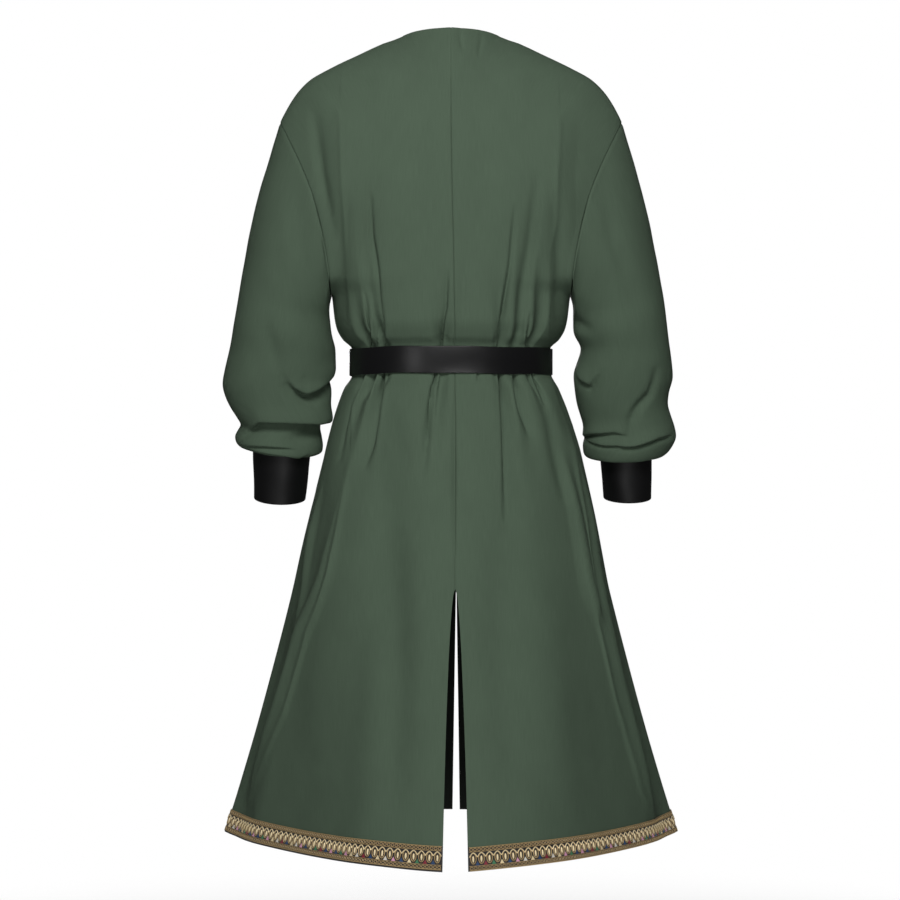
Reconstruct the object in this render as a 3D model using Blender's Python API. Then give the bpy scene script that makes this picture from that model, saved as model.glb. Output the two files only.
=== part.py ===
"""A belted tunic robe in the shape it has when it is worn, with nobody in it.

Four cloth panels (two backs, two fronts) make the body. Two sleeves end in black cuffs, a black belt
gathers the waist, and a woven band runs round the hem. The panels hang open in a vent at the centre
back and another at the centre front.

Metres, +Z up. X runs to the wearer's left, the front faces -Y, and the origin lies between the two
points where the shoulder seams meet the neckline, which is where the wearer's shoulders carry it.
"""

import math

import bmesh
import bpy
from mathutils import Vector

# Cloth, leather and seams
cloth_thickness = 0.0016
trim_thickness = 0.0012
cuff_thickness = 0.0024
belt_thickness = 0.0024
seam_gap = 0.0003
lay_gap = 0.0003  # between a piece and the one it lies on

# Heights that more than one piece uses
hem_height = -1.1525
underarm_height = -0.378
belt_height = -0.473
belt_width = 0.038
vent_top = -0.790

# How the upper body rounds off towards its outline, and how much flatter it is at the sides
shoulder_rounding = 0.16
side_flatness = 0.39
full_upper_height = -0.26
full_lower_height = -0.40

# The half outline of the body seen from behind. Between the shoulder point and the underarm it is
# the upper arm's outline, beyond the armhole seam.
outline = [
    {"height": 0.040, "half_width": 0.0580},
    {"height": 0.015, "half_width": 0.0640},
    {"height": 0.000, "half_width": 0.0695},
    {"height": -0.0113, "half_width": 0.0985},
    {"height": -0.0287, "half_width": 0.1360},
    {"height": -0.0461, "half_width": 0.1730},
    {"height": -0.0635, "half_width": 0.2037},
    {"height": -0.0809, "half_width": 0.2215},
    {"height": -0.0983, "half_width": 0.2335},
    {"height": -0.1157, "half_width": 0.2430},
    {"height": -0.1260, "half_width": 0.2480},
    {"height": -0.1500, "half_width": 0.2568},
    {"height": -0.1750, "half_width": 0.2630},
    {"height": -0.2050, "half_width": 0.2665},
    {"height": -0.2400, "half_width": 0.2650},
    {"height": -0.2800, "half_width": 0.2540},
    {"height": -0.3200, "half_width": 0.2310},
    {"height": -0.3550, "half_width": 0.2000},
    {"height": -0.3780, "half_width": 0.1730},
    {"height": -0.3950, "half_width": 0.1708},
    {"height": -0.4100, "half_width": 0.1690},
    {"height": -0.4250, "half_width": 0.1655},
    {"height": -0.4400, "half_width": 0.1570},
    {"height": -0.4535, "half_width": 0.1437},
    {"height": -0.4730, "half_width": 0.1425},
    {"height": -0.4925, "half_width": 0.1437},
    {"height": -0.5100, "half_width": 0.1545},
    {"height": -0.5300, "half_width": 0.1625},
    {"height": -0.5500, "half_width": 0.1690},
    {"height": -0.5850, "half_width": 0.1785},
    {"height": -0.6200, "half_width": 0.1865},
    {"height": -0.7000, "half_width": 0.2055},
    {"height": -0.8000, "half_width": 0.2290},
    {"height": -0.9000, "half_width": 0.2545},
    {"height": -1.0000, "half_width": 0.2815},
    {"height": -1.0800, "half_width": 0.3050},
    {"height": -1.1525, "half_width": 0.3275},
]

# How far the back and the front stand from the plane of the side seams, and how square the level
# section is: 2 is an ellipse, and less than 2 comes to a soft point at the sides and the centre.
depths = [
    {"height": 0.040, "back": 0.045, "front": 0.034, "back_power": 2.0, "front_power": 2.0},
    {"height": 0.004, "back": 0.063, "front": 0.048, "back_power": 2.0, "front_power": 2.0},
    {"height": -0.040, "back": 0.083, "front": 0.064, "back_power": 2.0, "front_power": 2.0},
    {"height": -0.080, "back": 0.091, "front": 0.077, "back_power": 2.0, "front_power": 2.0},
    {"height": -0.130, "back": 0.099, "front": 0.090, "back_power": 2.0, "front_power": 2.0},
    {"height": -0.190, "back": 0.106, "front": 0.098, "back_power": 2.0, "front_power": 2.0},
    {"height": -0.260, "back": 0.111, "front": 0.103, "back_power": 2.0, "front_power": 2.0},
    {"height": -0.330, "back": 0.115, "front": 0.107, "back_power": 2.1, "front_power": 2.1},
    {"height": -0.380, "back": 0.119, "front": 0.111, "back_power": 2.2, "front_power": 2.2},
    {"height": -0.415, "back": 0.120, "front": 0.113, "back_power": 2.2, "front_power": 2.2},
    {"height": -0.440, "back": 0.112, "front": 0.107, "back_power": 2.2, "front_power": 2.2},
    {"height": -0.4535, "back": 0.1025, "front": 0.0985, "back_power": 2.2, "front_power": 2.2},
    {"height": -0.473, "back": 0.1015, "front": 0.0975, "back_power": 2.2, "front_power": 2.2},
    {"height": -0.4925, "back": 0.1025, "front": 0.0985, "back_power": 2.2, "front_power": 2.2},
    {"height": -0.510, "back": 0.111, "front": 0.104, "back_power": 2.2, "front_power": 2.2},
    {"height": -0.550, "back": 0.125, "front": 0.113, "back_power": 2.1, "front_power": 2.1},
    {"height": -0.620, "back": 0.149, "front": 0.126, "back_power": 2.0, "front_power": 2.0},
    {"height": -0.700, "back": 0.176, "front": 0.139, "back_power": 1.85, "front_power": 1.9},
    {"height": -0.800, "back": 0.210, "front": 0.154, "back_power": 1.7, "front_power": 1.8},
    {"height": -0.920, "back": 0.249, "front": 0.171, "back_power": 1.57, "front_power": 1.7},
    {"height": -1.040, "back": 0.287, "front": 0.187, "back_power": 1.48, "front_power": 1.65},
    {"height": -1.1525, "back": 0.324, "front": 0.203, "back_power": 1.4, "front_power": 1.6},
]

# The armhole seam from the shoulder to the underarm, as seen from behind
armhole = [
    {"x": 0.2480, "height": -0.1260},
    {"x": 0.2300, "height": -0.1620},
    {"x": 0.2120, "height": -0.2000},
    {"x": 0.1965, "height": -0.2400},
    {"x": 0.1860, "height": -0.2800},
    {"x": 0.1785, "height": -0.3200},
    {"x": 0.1740, "height": -0.3550},
    {"x": 0.1730, "height": -0.3780},
]

# The neckline from the shoulder seam to the centre: nearly level behind, and a curved V in front
necklines = {
    "back": [
        {"x": 0.0695, "height": 0.0000},
        {"x": 0.0480, "height": 0.0030},
        {"x": 0.0240, "height": 0.0042},
        {"x": 0.0000, "height": 0.0045},
    ],
    "front": [
        {"x": 0.0695, "height": 0.0000},
        {"x": 0.0660, "height": -0.0280},
        {"x": 0.0570, "height": -0.0560},
        {"x": 0.0430, "height": -0.0850},
        {"x": 0.0290, "height": -0.1150},
        {"x": 0.0170, "height": -0.1500},
        {"x": 0.0075, "height": -0.1850},
        {"x": 0.0000, "height": -0.2150},
    ],
}
neckline_steps = {"back": 3, "front": 7}
upper_steps = 11  # from the shoulder seam to the underarm

# Level rows of the body below the underarm
lower_rows = (-0.395, -0.412, -0.427, -0.441, -0.4535, -0.473, -0.4925, -0.507, -0.527, -0.555, -0.595,
              -0.645, -0.705, -0.775, -0.850, -0.925, -1.000, -1.065, -1.1215, -1.1525)

# The centre seams wander a little to the wearer's right, and the vents open below them
centre_drift = {"back": -0.0056, "front": -0.0080}
drift_start = -0.10
drift_end = -0.46
vent_widths = {"back": 0.0345, "front": 0.0112}  # at the hem
vent_powers = {"back": 0.5, "front": 1.0}  # a square root opens fast below its top

# Folds that the belt draws in. side is 1 on the wearer's left. place is the share of the way round
# from the centre seam (0) to the side seam (1), at the belt and at the far ends of the fold.
folds = [
    {"face": "back", "side": 1, "place": 0.075, "up_place": 0.055,
     "up": 0.11, "down_place": 0.17, "down": 0.22, "depth": 0.0085},
    {"face": "back", "side": 1, "place": 0.455, "up_place": 0.50,
     "up": 0.24, "down_place": 0.49, "down": 0.20, "depth": 0.0100},
    {"face": "back", "side": 1, "place": 0.580, "up_place": 0.60,
     "up": 0.13, "down_place": 0.64, "down": 0.16, "depth": 0.0085},
    {"face": "back", "side": -1, "place": 0.290, "up_place": 0.22,
     "up": 0.14, "down_place": 0.27, "down": 0.24, "depth": 0.0090},
    {"face": "back", "side": -1, "place": 0.405, "up_place": 0.40,
     "up": 0.20, "down_place": 0.42, "down": 0.18, "depth": 0.0080},
    {"face": "back", "side": -1, "place": 0.545, "up_place": 0.55,
     "up": 0.14, "down_place": 0.62, "down": 0.12, "depth": 0.0090},
    {"face": "front", "side": 1, "place": 0.330, "up_place": 0.38,
     "up": 0.12, "down_place": 0.36, "down": 0.20, "depth": 0.0085},
    {"face": "front", "side": 1, "place": 0.600, "up_place": 0.62,
     "up": 0.16, "down_place": 0.64, "down": 0.16, "depth": 0.0090},
    {"face": "front", "side": -1, "place": 0.260, "up_place": 0.24,
     "up": 0.15, "down_place": 0.30, "down": 0.18, "depth": 0.0080},
    {"face": "front", "side": -1, "place": 0.520, "up_place": 0.56,
     "up": 0.12, "down_place": 0.55, "down": 0.22, "depth": 0.0095},
]
fold_half_width = 0.055  # in shares of the way round, at the belt
fold_spread = 0.060  # added to that by the fold's far end
under_belt = 0.45  # share of a fold's depth that is left where the belt presses on it

# Flares that grow towards the hem. depth is positive where the cloth stands out.
flares = [
    {"face": "back", "side": 1, "place": 0.20, "half_width": 0.14, "depth": 0.008},
    {"face": "back", "side": 1, "place": 0.52, "half_width": 0.30, "depth": -0.012},
    {"face": "back", "side": 1, "place": 0.82, "half_width": 0.17, "depth": -0.010},
    {"face": "back", "side": -1, "place": 0.20, "half_width": 0.22, "depth": 0.014},
    {"face": "back", "side": -1, "place": 0.36, "half_width": 0.16, "depth": 0.005},
    {"face": "back", "side": -1, "place": 0.82, "half_width": 0.18, "depth": -0.009},
    {"face": "front", "side": 1, "place": 0.40, "half_width": 0.18, "depth": 0.012},
    {"face": "front", "side": 1, "place": 0.74, "half_width": 0.13, "depth": -0.009},
    {"face": "front", "side": -1, "place": 0.34, "half_width": 0.18, "depth": 0.012},
    {"face": "front", "side": -1, "place": 0.70, "half_width": 0.14, "depth": -0.009},
]
flare_start = -0.56

# Long folds that stand out down the sides of the back skirt. Each goes down through its rows.
ridges = [
    {"face": "back", "side": 1, "half_width": 0.085, "rows": [
        {"height": -0.640, "place": 0.570, "depth": 0.000},
        {"height": -0.775, "place": 0.573, "depth": 0.006},
        {"height": -0.880, "place": 0.660, "depth": 0.011},
        {"height": -0.970, "place": 0.705, "depth": 0.011},
        {"height": -1.045, "place": 0.776, "depth": 0.006},
        {"height": -1.110, "place": 0.810, "depth": 0.000},
    ]},
    {"face": "back", "side": 1, "half_width": 0.070, "rows": [
        {"height": -0.640, "place": 0.810, "depth": 0.000},
        {"height": -0.730, "place": 0.783, "depth": 0.006},
        {"height": -0.810, "place": 0.722, "depth": 0.005},
        {"height": -0.885, "place": 0.670, "depth": 0.000},
    ]},
    {"face": "back", "side": -1, "half_width": 0.085, "rows": [
        {"height": -0.600, "place": 0.790, "depth": 0.000},
        {"height": -0.700, "place": 0.754, "depth": 0.008},
        {"height": -0.780, "place": 0.700, "depth": 0.010},
        {"height": -0.880, "place": 0.672, "depth": 0.012},
        {"height": -0.980, "place": 0.687, "depth": 0.012},
        {"height": -1.060, "place": 0.705, "depth": 0.009},
        {"height": -1.135, "place": 0.720, "depth": 0.000},
    ]},
    {"face": "back", "side": -1, "half_width": 0.065, "rows": [
        {"height": -0.600, "place": 0.640, "depth": 0.000},
        {"height": -0.700, "place": 0.620, "depth": 0.006},
        {"height": -0.800, "place": 0.600, "depth": 0.005},
        {"height": -0.880, "place": 0.660, "depth": 0.000},
    ]},
]
seam_margin = 0.05  # the folds die out over this share beside a seam
widest_step = 0.085  # the most that two columns of a panel may lie apart, as a share
closest_step = 0.030

# Rings of the sleeves below the armhole. Each is given by its outer and inner points as seen from
# behind, and by how far forward its centre lies, its half depth and how far its plane leans forward.
sleeves = {
    1: [
        {"outer_x": 0.3100, "outer_z": -0.3750, "inner_x": 0.1765,
         "inner_z": -0.4080, "y": -0.017, "half_depth": 0.0610, "lean": 3},
        {"outer_x": 0.3165, "outer_z": -0.4150, "inner_x": 0.1738,
         "inner_z": -0.4320, "y": -0.020, "half_depth": 0.0620, "lean": 4},
        {"outer_x": 0.3225, "outer_z": -0.4480, "inner_x": 0.1682,
         "inner_z": -0.4550, "y": -0.028, "half_depth": 0.0630, "lean": 5},
        {"outer_x": 0.3305, "outer_z": -0.4800, "inner_x": 0.1697,
         "inner_z": -0.4790, "y": -0.034, "half_depth": 0.0630, "lean": 7},
        {"outer_x": 0.3350, "outer_z": -0.5030, "inner_x": 0.1770,
         "inner_z": -0.4940, "y": -0.038, "half_depth": 0.0620, "lean": 8},
        {"outer_x": 0.3305, "outer_z": -0.5220, "inner_x": 0.1745,
         "inner_z": -0.5120, "y": -0.041, "half_depth": 0.0610, "lean": 9},
        {"outer_x": 0.3215, "outer_z": -0.5400, "inner_x": 0.1770,
         "inner_z": -0.5340, "y": -0.043, "half_depth": 0.0570, "lean": 9},
        {"outer_x": 0.3135, "outer_z": -0.5530, "inner_x": 0.1775,
         "inner_z": -0.5500, "y": -0.045, "half_depth": 0.0530, "lean": 10},
        {"outer_x": 0.3090, "outer_z": -0.5620, "inner_x": 0.1870,
         "inner_z": -0.5610, "y": -0.047, "half_depth": 0.0480, "lean": 10},
        {"outer_x": 0.3130, "outer_z": -0.5700, "inner_x": 0.1912,
         "inner_z": -0.5710, "y": -0.048, "half_depth": 0.0500, "lean": 11},
        {"outer_x": 0.3175, "outer_z": -0.5790, "inner_x": 0.1900,
         "inner_z": -0.5820, "y": -0.050, "half_depth": 0.0525, "lean": 11},
        {"outer_x": 0.3160, "outer_z": -0.5870, "inner_x": 0.1885,
         "inner_z": -0.5930, "y": -0.051, "half_depth": 0.0520, "lean": 12},
        {"outer_x": 0.3090, "outer_z": -0.5935, "inner_x": 0.1895,
         "inner_z": -0.6020, "y": -0.052, "half_depth": 0.0490, "lean": 12},
        {"outer_x": 0.3000, "outer_z": -0.5950, "inner_x": 0.1970,
         "inner_z": -0.6050, "y": -0.053, "half_depth": 0.0450, "lean": 15},
    ],
    -1: [
        {"outer_x": 0.3085, "outer_z": -0.3750, "inner_x": 0.1772,
         "inner_z": -0.4080, "y": -0.017, "half_depth": 0.0610, "lean": 3},
        {"outer_x": 0.3140, "outer_z": -0.4130, "inner_x": 0.1790,
         "inner_z": -0.4300, "y": -0.020, "half_depth": 0.0620, "lean": 4},
        {"outer_x": 0.3185, "outer_z": -0.4430, "inner_x": 0.1905,
         "inner_z": -0.4510, "y": -0.027, "half_depth": 0.0620, "lean": 5},
        {"outer_x": 0.3230, "outer_z": -0.4720, "inner_x": 0.1850,
         "inner_z": -0.4710, "y": -0.032, "half_depth": 0.0630, "lean": 7},
        {"outer_x": 0.3250, "outer_z": -0.4930, "inner_x": 0.1790,
         "inner_z": -0.4900, "y": -0.036, "half_depth": 0.0620, "lean": 8},
        {"outer_x": 0.3198, "outer_z": -0.5130, "inner_x": 0.1812,
         "inner_z": -0.5120, "y": -0.040, "half_depth": 0.0600, "lean": 9},
        {"outer_x": 0.3180, "outer_z": -0.5310, "inner_x": 0.1845,
         "inner_z": -0.5310, "y": -0.043, "half_depth": 0.0580, "lean": 9},
        {"outer_x": 0.3225, "outer_z": -0.5480, "inner_x": 0.1895,
         "inner_z": -0.5480, "y": -0.045, "half_depth": 0.0560, "lean": 10},
        {"outer_x": 0.3285, "outer_z": -0.5650, "inner_x": 0.1940,
         "inner_z": -0.5650, "y": -0.047, "half_depth": 0.0560, "lean": 10},
        {"outer_x": 0.3313, "outer_z": -0.5790, "inner_x": 0.1950,
         "inner_z": -0.5790, "y": -0.049, "half_depth": 0.0560, "lean": 11},
        {"outer_x": 0.3270, "outer_z": -0.5910, "inner_x": 0.1938,
         "inner_z": -0.5920, "y": -0.050, "half_depth": 0.0540, "lean": 11},
        {"outer_x": 0.3190, "outer_z": -0.6020, "inner_x": 0.1950,
         "inner_z": -0.6040, "y": -0.052, "half_depth": 0.0510, "lean": 12},
        {"outer_x": 0.3110, "outer_z": -0.6070, "inner_x": 0.2005,
         "inner_z": -0.6100, "y": -0.053, "half_depth": 0.0470, "lean": 12},
        {"outer_x": 0.3040, "outer_z": -0.6050, "inner_x": 0.2100,
         "inner_z": -0.6078, "y": -0.054, "half_depth": 0.0430, "lean": 13},
    ],
}
sleeve_loft_steps = 7  # rows between the armhole and the first ring
sleeve_bulge = 0.006  # how far the sleeve head stands out of a straight loft

# The cuffs: their top and bottom rings
cuffs = {
    1: [
        {"outer_x": 0.2925, "outer_z": -0.5960, "inner_x": 0.2060,
         "inner_z": -0.6020, "y": -0.054, "half_depth": 0.0400, "lean": 14},
        {"outer_x": 0.2922, "outer_z": -0.6705, "inner_x": 0.2150,
         "inner_z": -0.6735, "y": -0.071, "half_depth": 0.0370, "lean": 14},
    ],
    -1: [
        {"outer_x": 0.2965, "outer_z": -0.6040, "inner_x": 0.2190,
         "inner_z": -0.6050, "y": -0.055, "half_depth": 0.0375, "lean": 13},
        {"outer_x": 0.2970, "outer_z": -0.6710, "inner_x": 0.2253,
         "inner_z": -0.6710, "y": -0.071, "half_depth": 0.0350, "lean": 13},
    ],
}
cuff_points = 44

# The belt lies on a ring round the gathered cloth. A place is how far round the ring a point is from
# the centre front, towards the wearer's left. An offset is how far out of the ring it is.
belt_clearance = 0.0012
belt_steps = 96
bar_radius = 0.0015
prong_radius = 0.0012
buckle_reach = 0.0225  # of each bar from the centre front
buckle_offset = 0.0042
buckle_half_height = 0.0215
buckle_corner = 0.0024
prong_height = 0.0072
slot_half_width = 0.0018
keeper_places = (0.0460, 0.0550)
keeper_offsets = (0.0013, 0.0096)
keeper_thickness = 0.0012

# The middle of the strap: from its folded end, round the heel bar, and away round the body
strap_start = [
    {"place": 0.0440, "offset": 0.0012},
    {"place": 0.0330, "offset": 0.0012},
    {"place": 0.0225, "offset": 0.0012, "turns_back": True},
    {"place": 0.0225, "offset": 0.0072},
    {"place": 0.0300, "offset": 0.0056},
    {"place": 0.0380, "offset": 0.0040},
    {"place": 0.0580, "offset": 0.0040},
    {"place": 0.0670, "offset": 0.0026},
    {"place": 0.0780, "offset": 0.0012},
]
# Then in from the wearer's right, under the front bar, over the heel bar and through the keeper
strap_tail = [
    {"place": -0.0450, "offset": 0.0012},
    {"place": -0.0250, "offset": 0.0012},
    {"place": -0.0150, "offset": 0.0013},
    {"place": -0.0080, "offset": 0.0018},
    {"place": 0.0000, "offset": 0.0036},
    {"place": 0.0080, "offset": 0.0072},
    {"place": 0.0145, "offset": 0.0096},
    {"place": 0.0225, "offset": 0.0102},
    {"place": 0.0280, "offset": 0.0100},
    {"place": 0.0340, "offset": 0.0082},
    {"place": 0.0390, "offset": 0.0069},
    {"place": 0.0580, "offset": 0.0069},
    {"place": 0.0670, "offset": 0.0056},
    {"place": 0.0780, "offset": 0.0042},
    {"place": 0.1000, "offset": 0.0042},
    {"place": 0.1300, "offset": 0.0042},
]

SIDE_NAMES = {1: "left", -1: "right"}
cloth_green = (0.075, 0.115, 0.073, 1.0)
leather_black = (0.013, 0.013, 0.014, 1.0)
braid_gold = (0.42, 0.28, 0.11, 1.0)
buckle_steel = (0.35, 0.34, 0.32, 1.0)


def clear_scene():
    for obj in list(bpy.data.objects):
        bpy.data.objects.remove(obj)


def mix(a, b, share):
    return a + (b - a) * share


def ramp(low, high, value):
    """0 at low, 1 at high and smooth between them."""
    share = min(max((value - low) / (high - low), 0.0), 1.0)
    return share * share * (3 - 2 * share)


def read(rows, key, column, at):
    """The value of a table's column at a place between its rows, on a smooth curve with no overshoot."""
    places = [row[key] for row in rows]
    values = [row[column] for row in rows]
    if places[0] > places[-1]:
        places.reverse()
        values.reverse()
    at = min(max(at, places[0]), places[-1])
    last = len(places) - 1
    i = max(k for k in range(last) if places[k] <= at or k == 0)
    slopes = [(values[k + 1] - values[k]) / (places[k + 1] - places[k]) for k in range(last)]

    def tangent(k):
        if k == 0 or k == last:
            return slopes[min(k, last - 1)]
        before, after = slopes[k - 1], slopes[k]
        return 0.0 if before * after <= 0 else 2 * before * after / (before + after)

    span = places[i + 1] - places[i]
    t = (at - places[i]) / span
    return (
        (2 * t**3 - 3 * t**2 + 1) * values[i]
        + (t**3 - 2 * t**2 + t) * span * tangent(i)
        + (3 * t**2 - 2 * t**3) * values[i + 1]
        + (t**3 - t**2) * span * tangent(i + 1)
    )


def along(points, share):
    """The point at a share of the length of a line through points."""
    lengths = [(b - a).length for a, b in zip(points, points[1:])]
    left = share * sum(lengths)
    for a, b, length in zip(points, points[1:], lengths):
        if left <= length or b is points[-1]:
            return a.lerp(b, min(left / length, 1.0))
        left -= length


def flat_points(rows):
    return [Vector((row["x"], row["height"])) for row in rows]


def outline_at(height):
    return read(outline, "height", "half_width", height)


outline_steps = 90
outline_points = [
    Vector((outline_at(height), height))
    for height in (mix(0.04, -0.42, k / outline_steps) for k in range(outline_steps + 1))
]


def distance_to_outline(x, height):
    here = Vector((x, height))
    nearest = 1.0
    for a, b in zip(outline_points, outline_points[1:]):
        along_edge = b - a
        share = min(max((here - a).dot(along_edge) / along_edge.length_squared, 0.0), 1.0)
        nearest = min(nearest, (here - a - along_edge * share).length)
    return nearest


def body_depth(x, height, face):
    """How far the body's cloth stands from the plane of the side seams."""
    half_width = outline_at(height)
    x = min(abs(x), half_width)
    power = read(depths, "height", face + "_power", height)
    depth = read(depths, "height", face, height)
    lower = ramp(full_upper_height, full_lower_height, height)
    inward = 1 - x / half_width
    if lower < 1:
        upper_inward = min(distance_to_outline(x, height) / shoulder_rounding, 1.0)
        inward = mix(upper_inward, inward, lower)
        depth *= 1 - side_flatness * (x / 0.25) ** 2 * (1 - lower)
    return depth * (1 - (1 - inward) ** power) ** (1 / power)


def centre_line(height, face, side):
    """The x of a panel's centre edge, in the panel's own direction."""
    drift = centre_drift[face] * ramp(drift_start, drift_end, height)
    opening = max((vent_top - height) / (vent_top - hem_height), 0.0) ** vent_powers[face]
    return side * drift + opening * vent_widths[face] / 2


def fold_push(face, side, place, height):
    """How far the folds, flares and ridges move the cloth out of its plain form."""
    belt_top = belt_height + belt_width / 2
    belt_bottom = belt_height - belt_width / 2
    push = 0.0
    for fold in folds:
        if fold["face"] != face or fold["side"] != side:
            continue
        if height >= belt_top:
            share = (height - belt_top) / fold["up"]
            centre = mix(fold["place"], fold["up_place"], min(share, 1.0))
        elif height <= belt_bottom:
            share = (belt_bottom - height) / fold["down"]
            centre = mix(fold["place"], fold["down_place"], min(share, 1.0))
        else:
            share, centre = 0.0, fold["place"]
        if share >= 1:
            continue
        half_width = fold_half_width + fold_spread * share
        off = abs(place - centre) / half_width
        if off >= 1:
            continue
        pressed = mix(under_belt, 1.0, ramp(0.0, 0.10, share))
        push -= fold["depth"] * pressed * (1 - share) ** 1.3 * (0.5 + 0.5 * math.cos(math.pi * off))
    for flare in flares:
        if flare["face"] != face or flare["side"] != side:
            continue
        off = abs(place - flare["place"]) / flare["half_width"]
        if off < 1:
            growth = ramp(flare_start, hem_height, height)
            push += flare["depth"] * growth * (0.5 + 0.5 * math.cos(math.pi * off))
    for ridge in ridges:
        if ridge["face"] != face or ridge["side"] != side:
            continue
        off = abs(place - read(ridge["rows"], "height", "place", height)) / ridge["half_width"]
        if off < 1:
            depth = read(ridge["rows"], "height", "depth", height)
            push += depth * (0.5 + 0.5 * math.cos(math.pi * off))
    return push * ramp(0, seam_margin, place) * ramp(0, seam_margin, 1 - place)


def panel_columns(face, side):
    """Shares of the way round, with one on the line of each fold, flare and ridge."""
    wanted = [0.0, 1.0]
    for fold in folds:
        if fold["face"] == face and fold["side"] == side:
            centre = fold["place"]
            wanted += [centre, centre - fold_half_width * 0.8, centre + fold_half_width * 0.8]
    wanted += [f["place"] for f in flares if f["face"] == face and f["side"] == side]
    for ridge in ridges:
        if ridge["face"] == face and ridge["side"] == side:
            wanted += [row["place"] for row in ridge["rows"]]
    columns = []
    for share in sorted(min(max(w, 0.0), 1.0) for w in wanted):
        if not columns or share - columns[-1] >= closest_step:
            columns.append(share)
    columns[-1] = 1.0
    filled = [columns[0]]
    for a, b in zip(columns, columns[1:]):
        parts = math.ceil((b - a) / widest_step)
        filled += [mix(a, b, (k + 1) / parts) for k in range(parts)]
    return filled


def shoulder_bow(share):
    """How far the shoulder's outline stands above the straight line between its ends."""
    start = Vector((outline_at(0.0), 0.0))
    end = Vector((armhole[0]["x"], armhole[0]["height"]))
    steps = 40
    heights = [mix(start.y, end.y, k / steps) for k in range(steps + 1)]
    curve = [Vector((outline_at(height), height)) for height in heights]
    return along(curve, share) - start.lerp(end, share)


def panel_plan(face, side, columns):
    """The rows of a panel as seen from the back or front, before they get their depth."""
    neck = flat_points(necklines[face])
    neck_rows = neckline_steps[face]
    arm = flat_points(armhole)
    bows = [shoulder_bow(place) for place in columns]
    plan = []
    for row in range(upper_steps + 1):
        down = row / upper_steps
        if row <= neck_rows:
            inner = along(neck, row / neck_rows)
        else:
            height = mix(neck[-1].y, underarm_height, (row - neck_rows) / (upper_steps - neck_rows))
            inner = Vector((0.0, height))
        inner.x += centre_line(inner.y, face, side) * (1 - min(inner.x / 0.05, 1.0))
        outer = along(arm, down)
        line = []
        for place, bow in zip(columns, bows):
            share = mix(place, math.sin(place * math.pi / 2), ramp(0.0, 1.0, down))
            line.append(inner.lerp(outer, share) + bow * (1 - down) ** 2)
        plan.append(line)
    for height in lower_rows:
        inner_x = centre_line(height, face, side)
        half_width = outline_at(height)
        shares = [math.sin(place * math.pi / 2) for place in columns]
        plan.append([Vector((mix(inner_x, half_width, share), height)) for share in shares])
    return plan


def body_panel(face, side):
    """The outer surface of one body panel, as rows of points from the shoulder seam to the hem, and
    the direction that is outwards at each point."""
    columns = panel_columns(face, side)
    plan = panel_plan(face, side, columns)
    sign = 1 if face == "back" else -1
    rows = [[Vector((side * p.x, sign * body_depth(p.x, p.y, face), p.y)) for p in line] for line in plan]
    for point in rows[0] + rows[upper_steps][-1:]:
        point.y = 0.0
    directions = grid_normals(rows, closed=False, facing=-side * sign)
    for line, points, outward in zip(plan, rows, directions):
        for k, place in enumerate(columns):
            points[k] += outward[k] * fold_push(face, side, place, line[k].y)
    for point in rows[0] + rows[upper_steps][-1:]:
        point.y = 0.0
    directions = grid_normals(rows, closed=False, facing=-side * sign)
    for k in range(len(columns)):
        step = rows[0][min(k + 1, len(columns) - 1)] - rows[0][max(k - 1, 0)]
        directions[0][k] = Vector((-step.z * side, 0.0, step.x * side)).normalized()
    return rows, directions


def armhole_ring(side, panels):
    """The armhole's points, from the shoulder round the back to the underarm and up the front."""
    back = [row[-1] for row in panels[("back", side)][0][: upper_steps + 1]]
    front = [row[-1] for row in panels[("front", side)][0][: upper_steps + 1]]
    return [p.copy() for p in back + front[-2:0:-1]]


def oval(ring, side, count):
    """A ring from one row of a sleeve or cuff table, starting at its outer point and going round the back."""
    outer = Vector((side * ring["outer_x"], ring["y"], ring["outer_z"]))
    inner = Vector((side * ring["inner_x"], ring["y"], ring["inner_z"]))
    lean = math.radians(ring["lean"])
    back = Vector((0.0, math.cos(lean), -math.sin(lean))) * ring["half_depth"]
    centre = (outer + inner) / 2
    turns = [2 * math.pi * k / count for k in range(count)]
    return [centre + (outer - centre) * math.cos(a) + back * math.sin(a) for a in turns]


def narrower(ring, change):
    """A row of a sleeve or cuff table, smaller all round."""
    changes = {"outer_x": -change, "inner_x": change, "half_depth": -change}
    return {key: value + changes.get(key, 0.0) for key, value in ring.items()}


def sleeve_surface(side, panels):
    """The outer surface of a sleeve: a loft from the armhole, then its rings down to the cuff."""
    start = armhole_ring(side, panels)
    count = len(start)
    rings = [oval(ring, side, count) for ring in sleeves[side]]
    rows = []
    for step in range(sleeve_loft_steps):
        share = step / sleeve_loft_steps
        row = []
        for k, (a, b) in enumerate(zip(start, rings[0])):
            outwards = 0.7 + 0.3 * math.cos(2 * math.pi * k / count)
            bulge = sleeve_bulge * math.sin(math.pi * share) * outwards
            row.append(a.lerp(b, share) + Vector((side, a.y / 0.07, 0)) * bulge)
        rows.append(row)
    rows += rings
    top = cuffs[side][0]
    rows.append([p + Vector((0, 0, 3 * seam_gap)) for p in oval(narrower(top, 0.0012), side, count)])
    return rows


def grid_normals(rows, closed, facing):
    """Unit normals of a grid of points, from the directions to the next points each way."""
    count = len(rows[0])
    normals = []
    for j in range(len(rows)):
        line = []
        for i in range(count):
            if closed:
                across = rows[j][(i + 1) % count] - rows[j][i - 1]
            else:
                across = rows[j][min(i + 1, count - 1)] - rows[j][max(i - 1, 0)]
            down = rows[min(j + 1, len(rows) - 1)][i] - rows[max(j - 1, 0)][i]
            line.append((down.cross(across) * facing).normalized())
        normals.append(line)
    return normals


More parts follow.
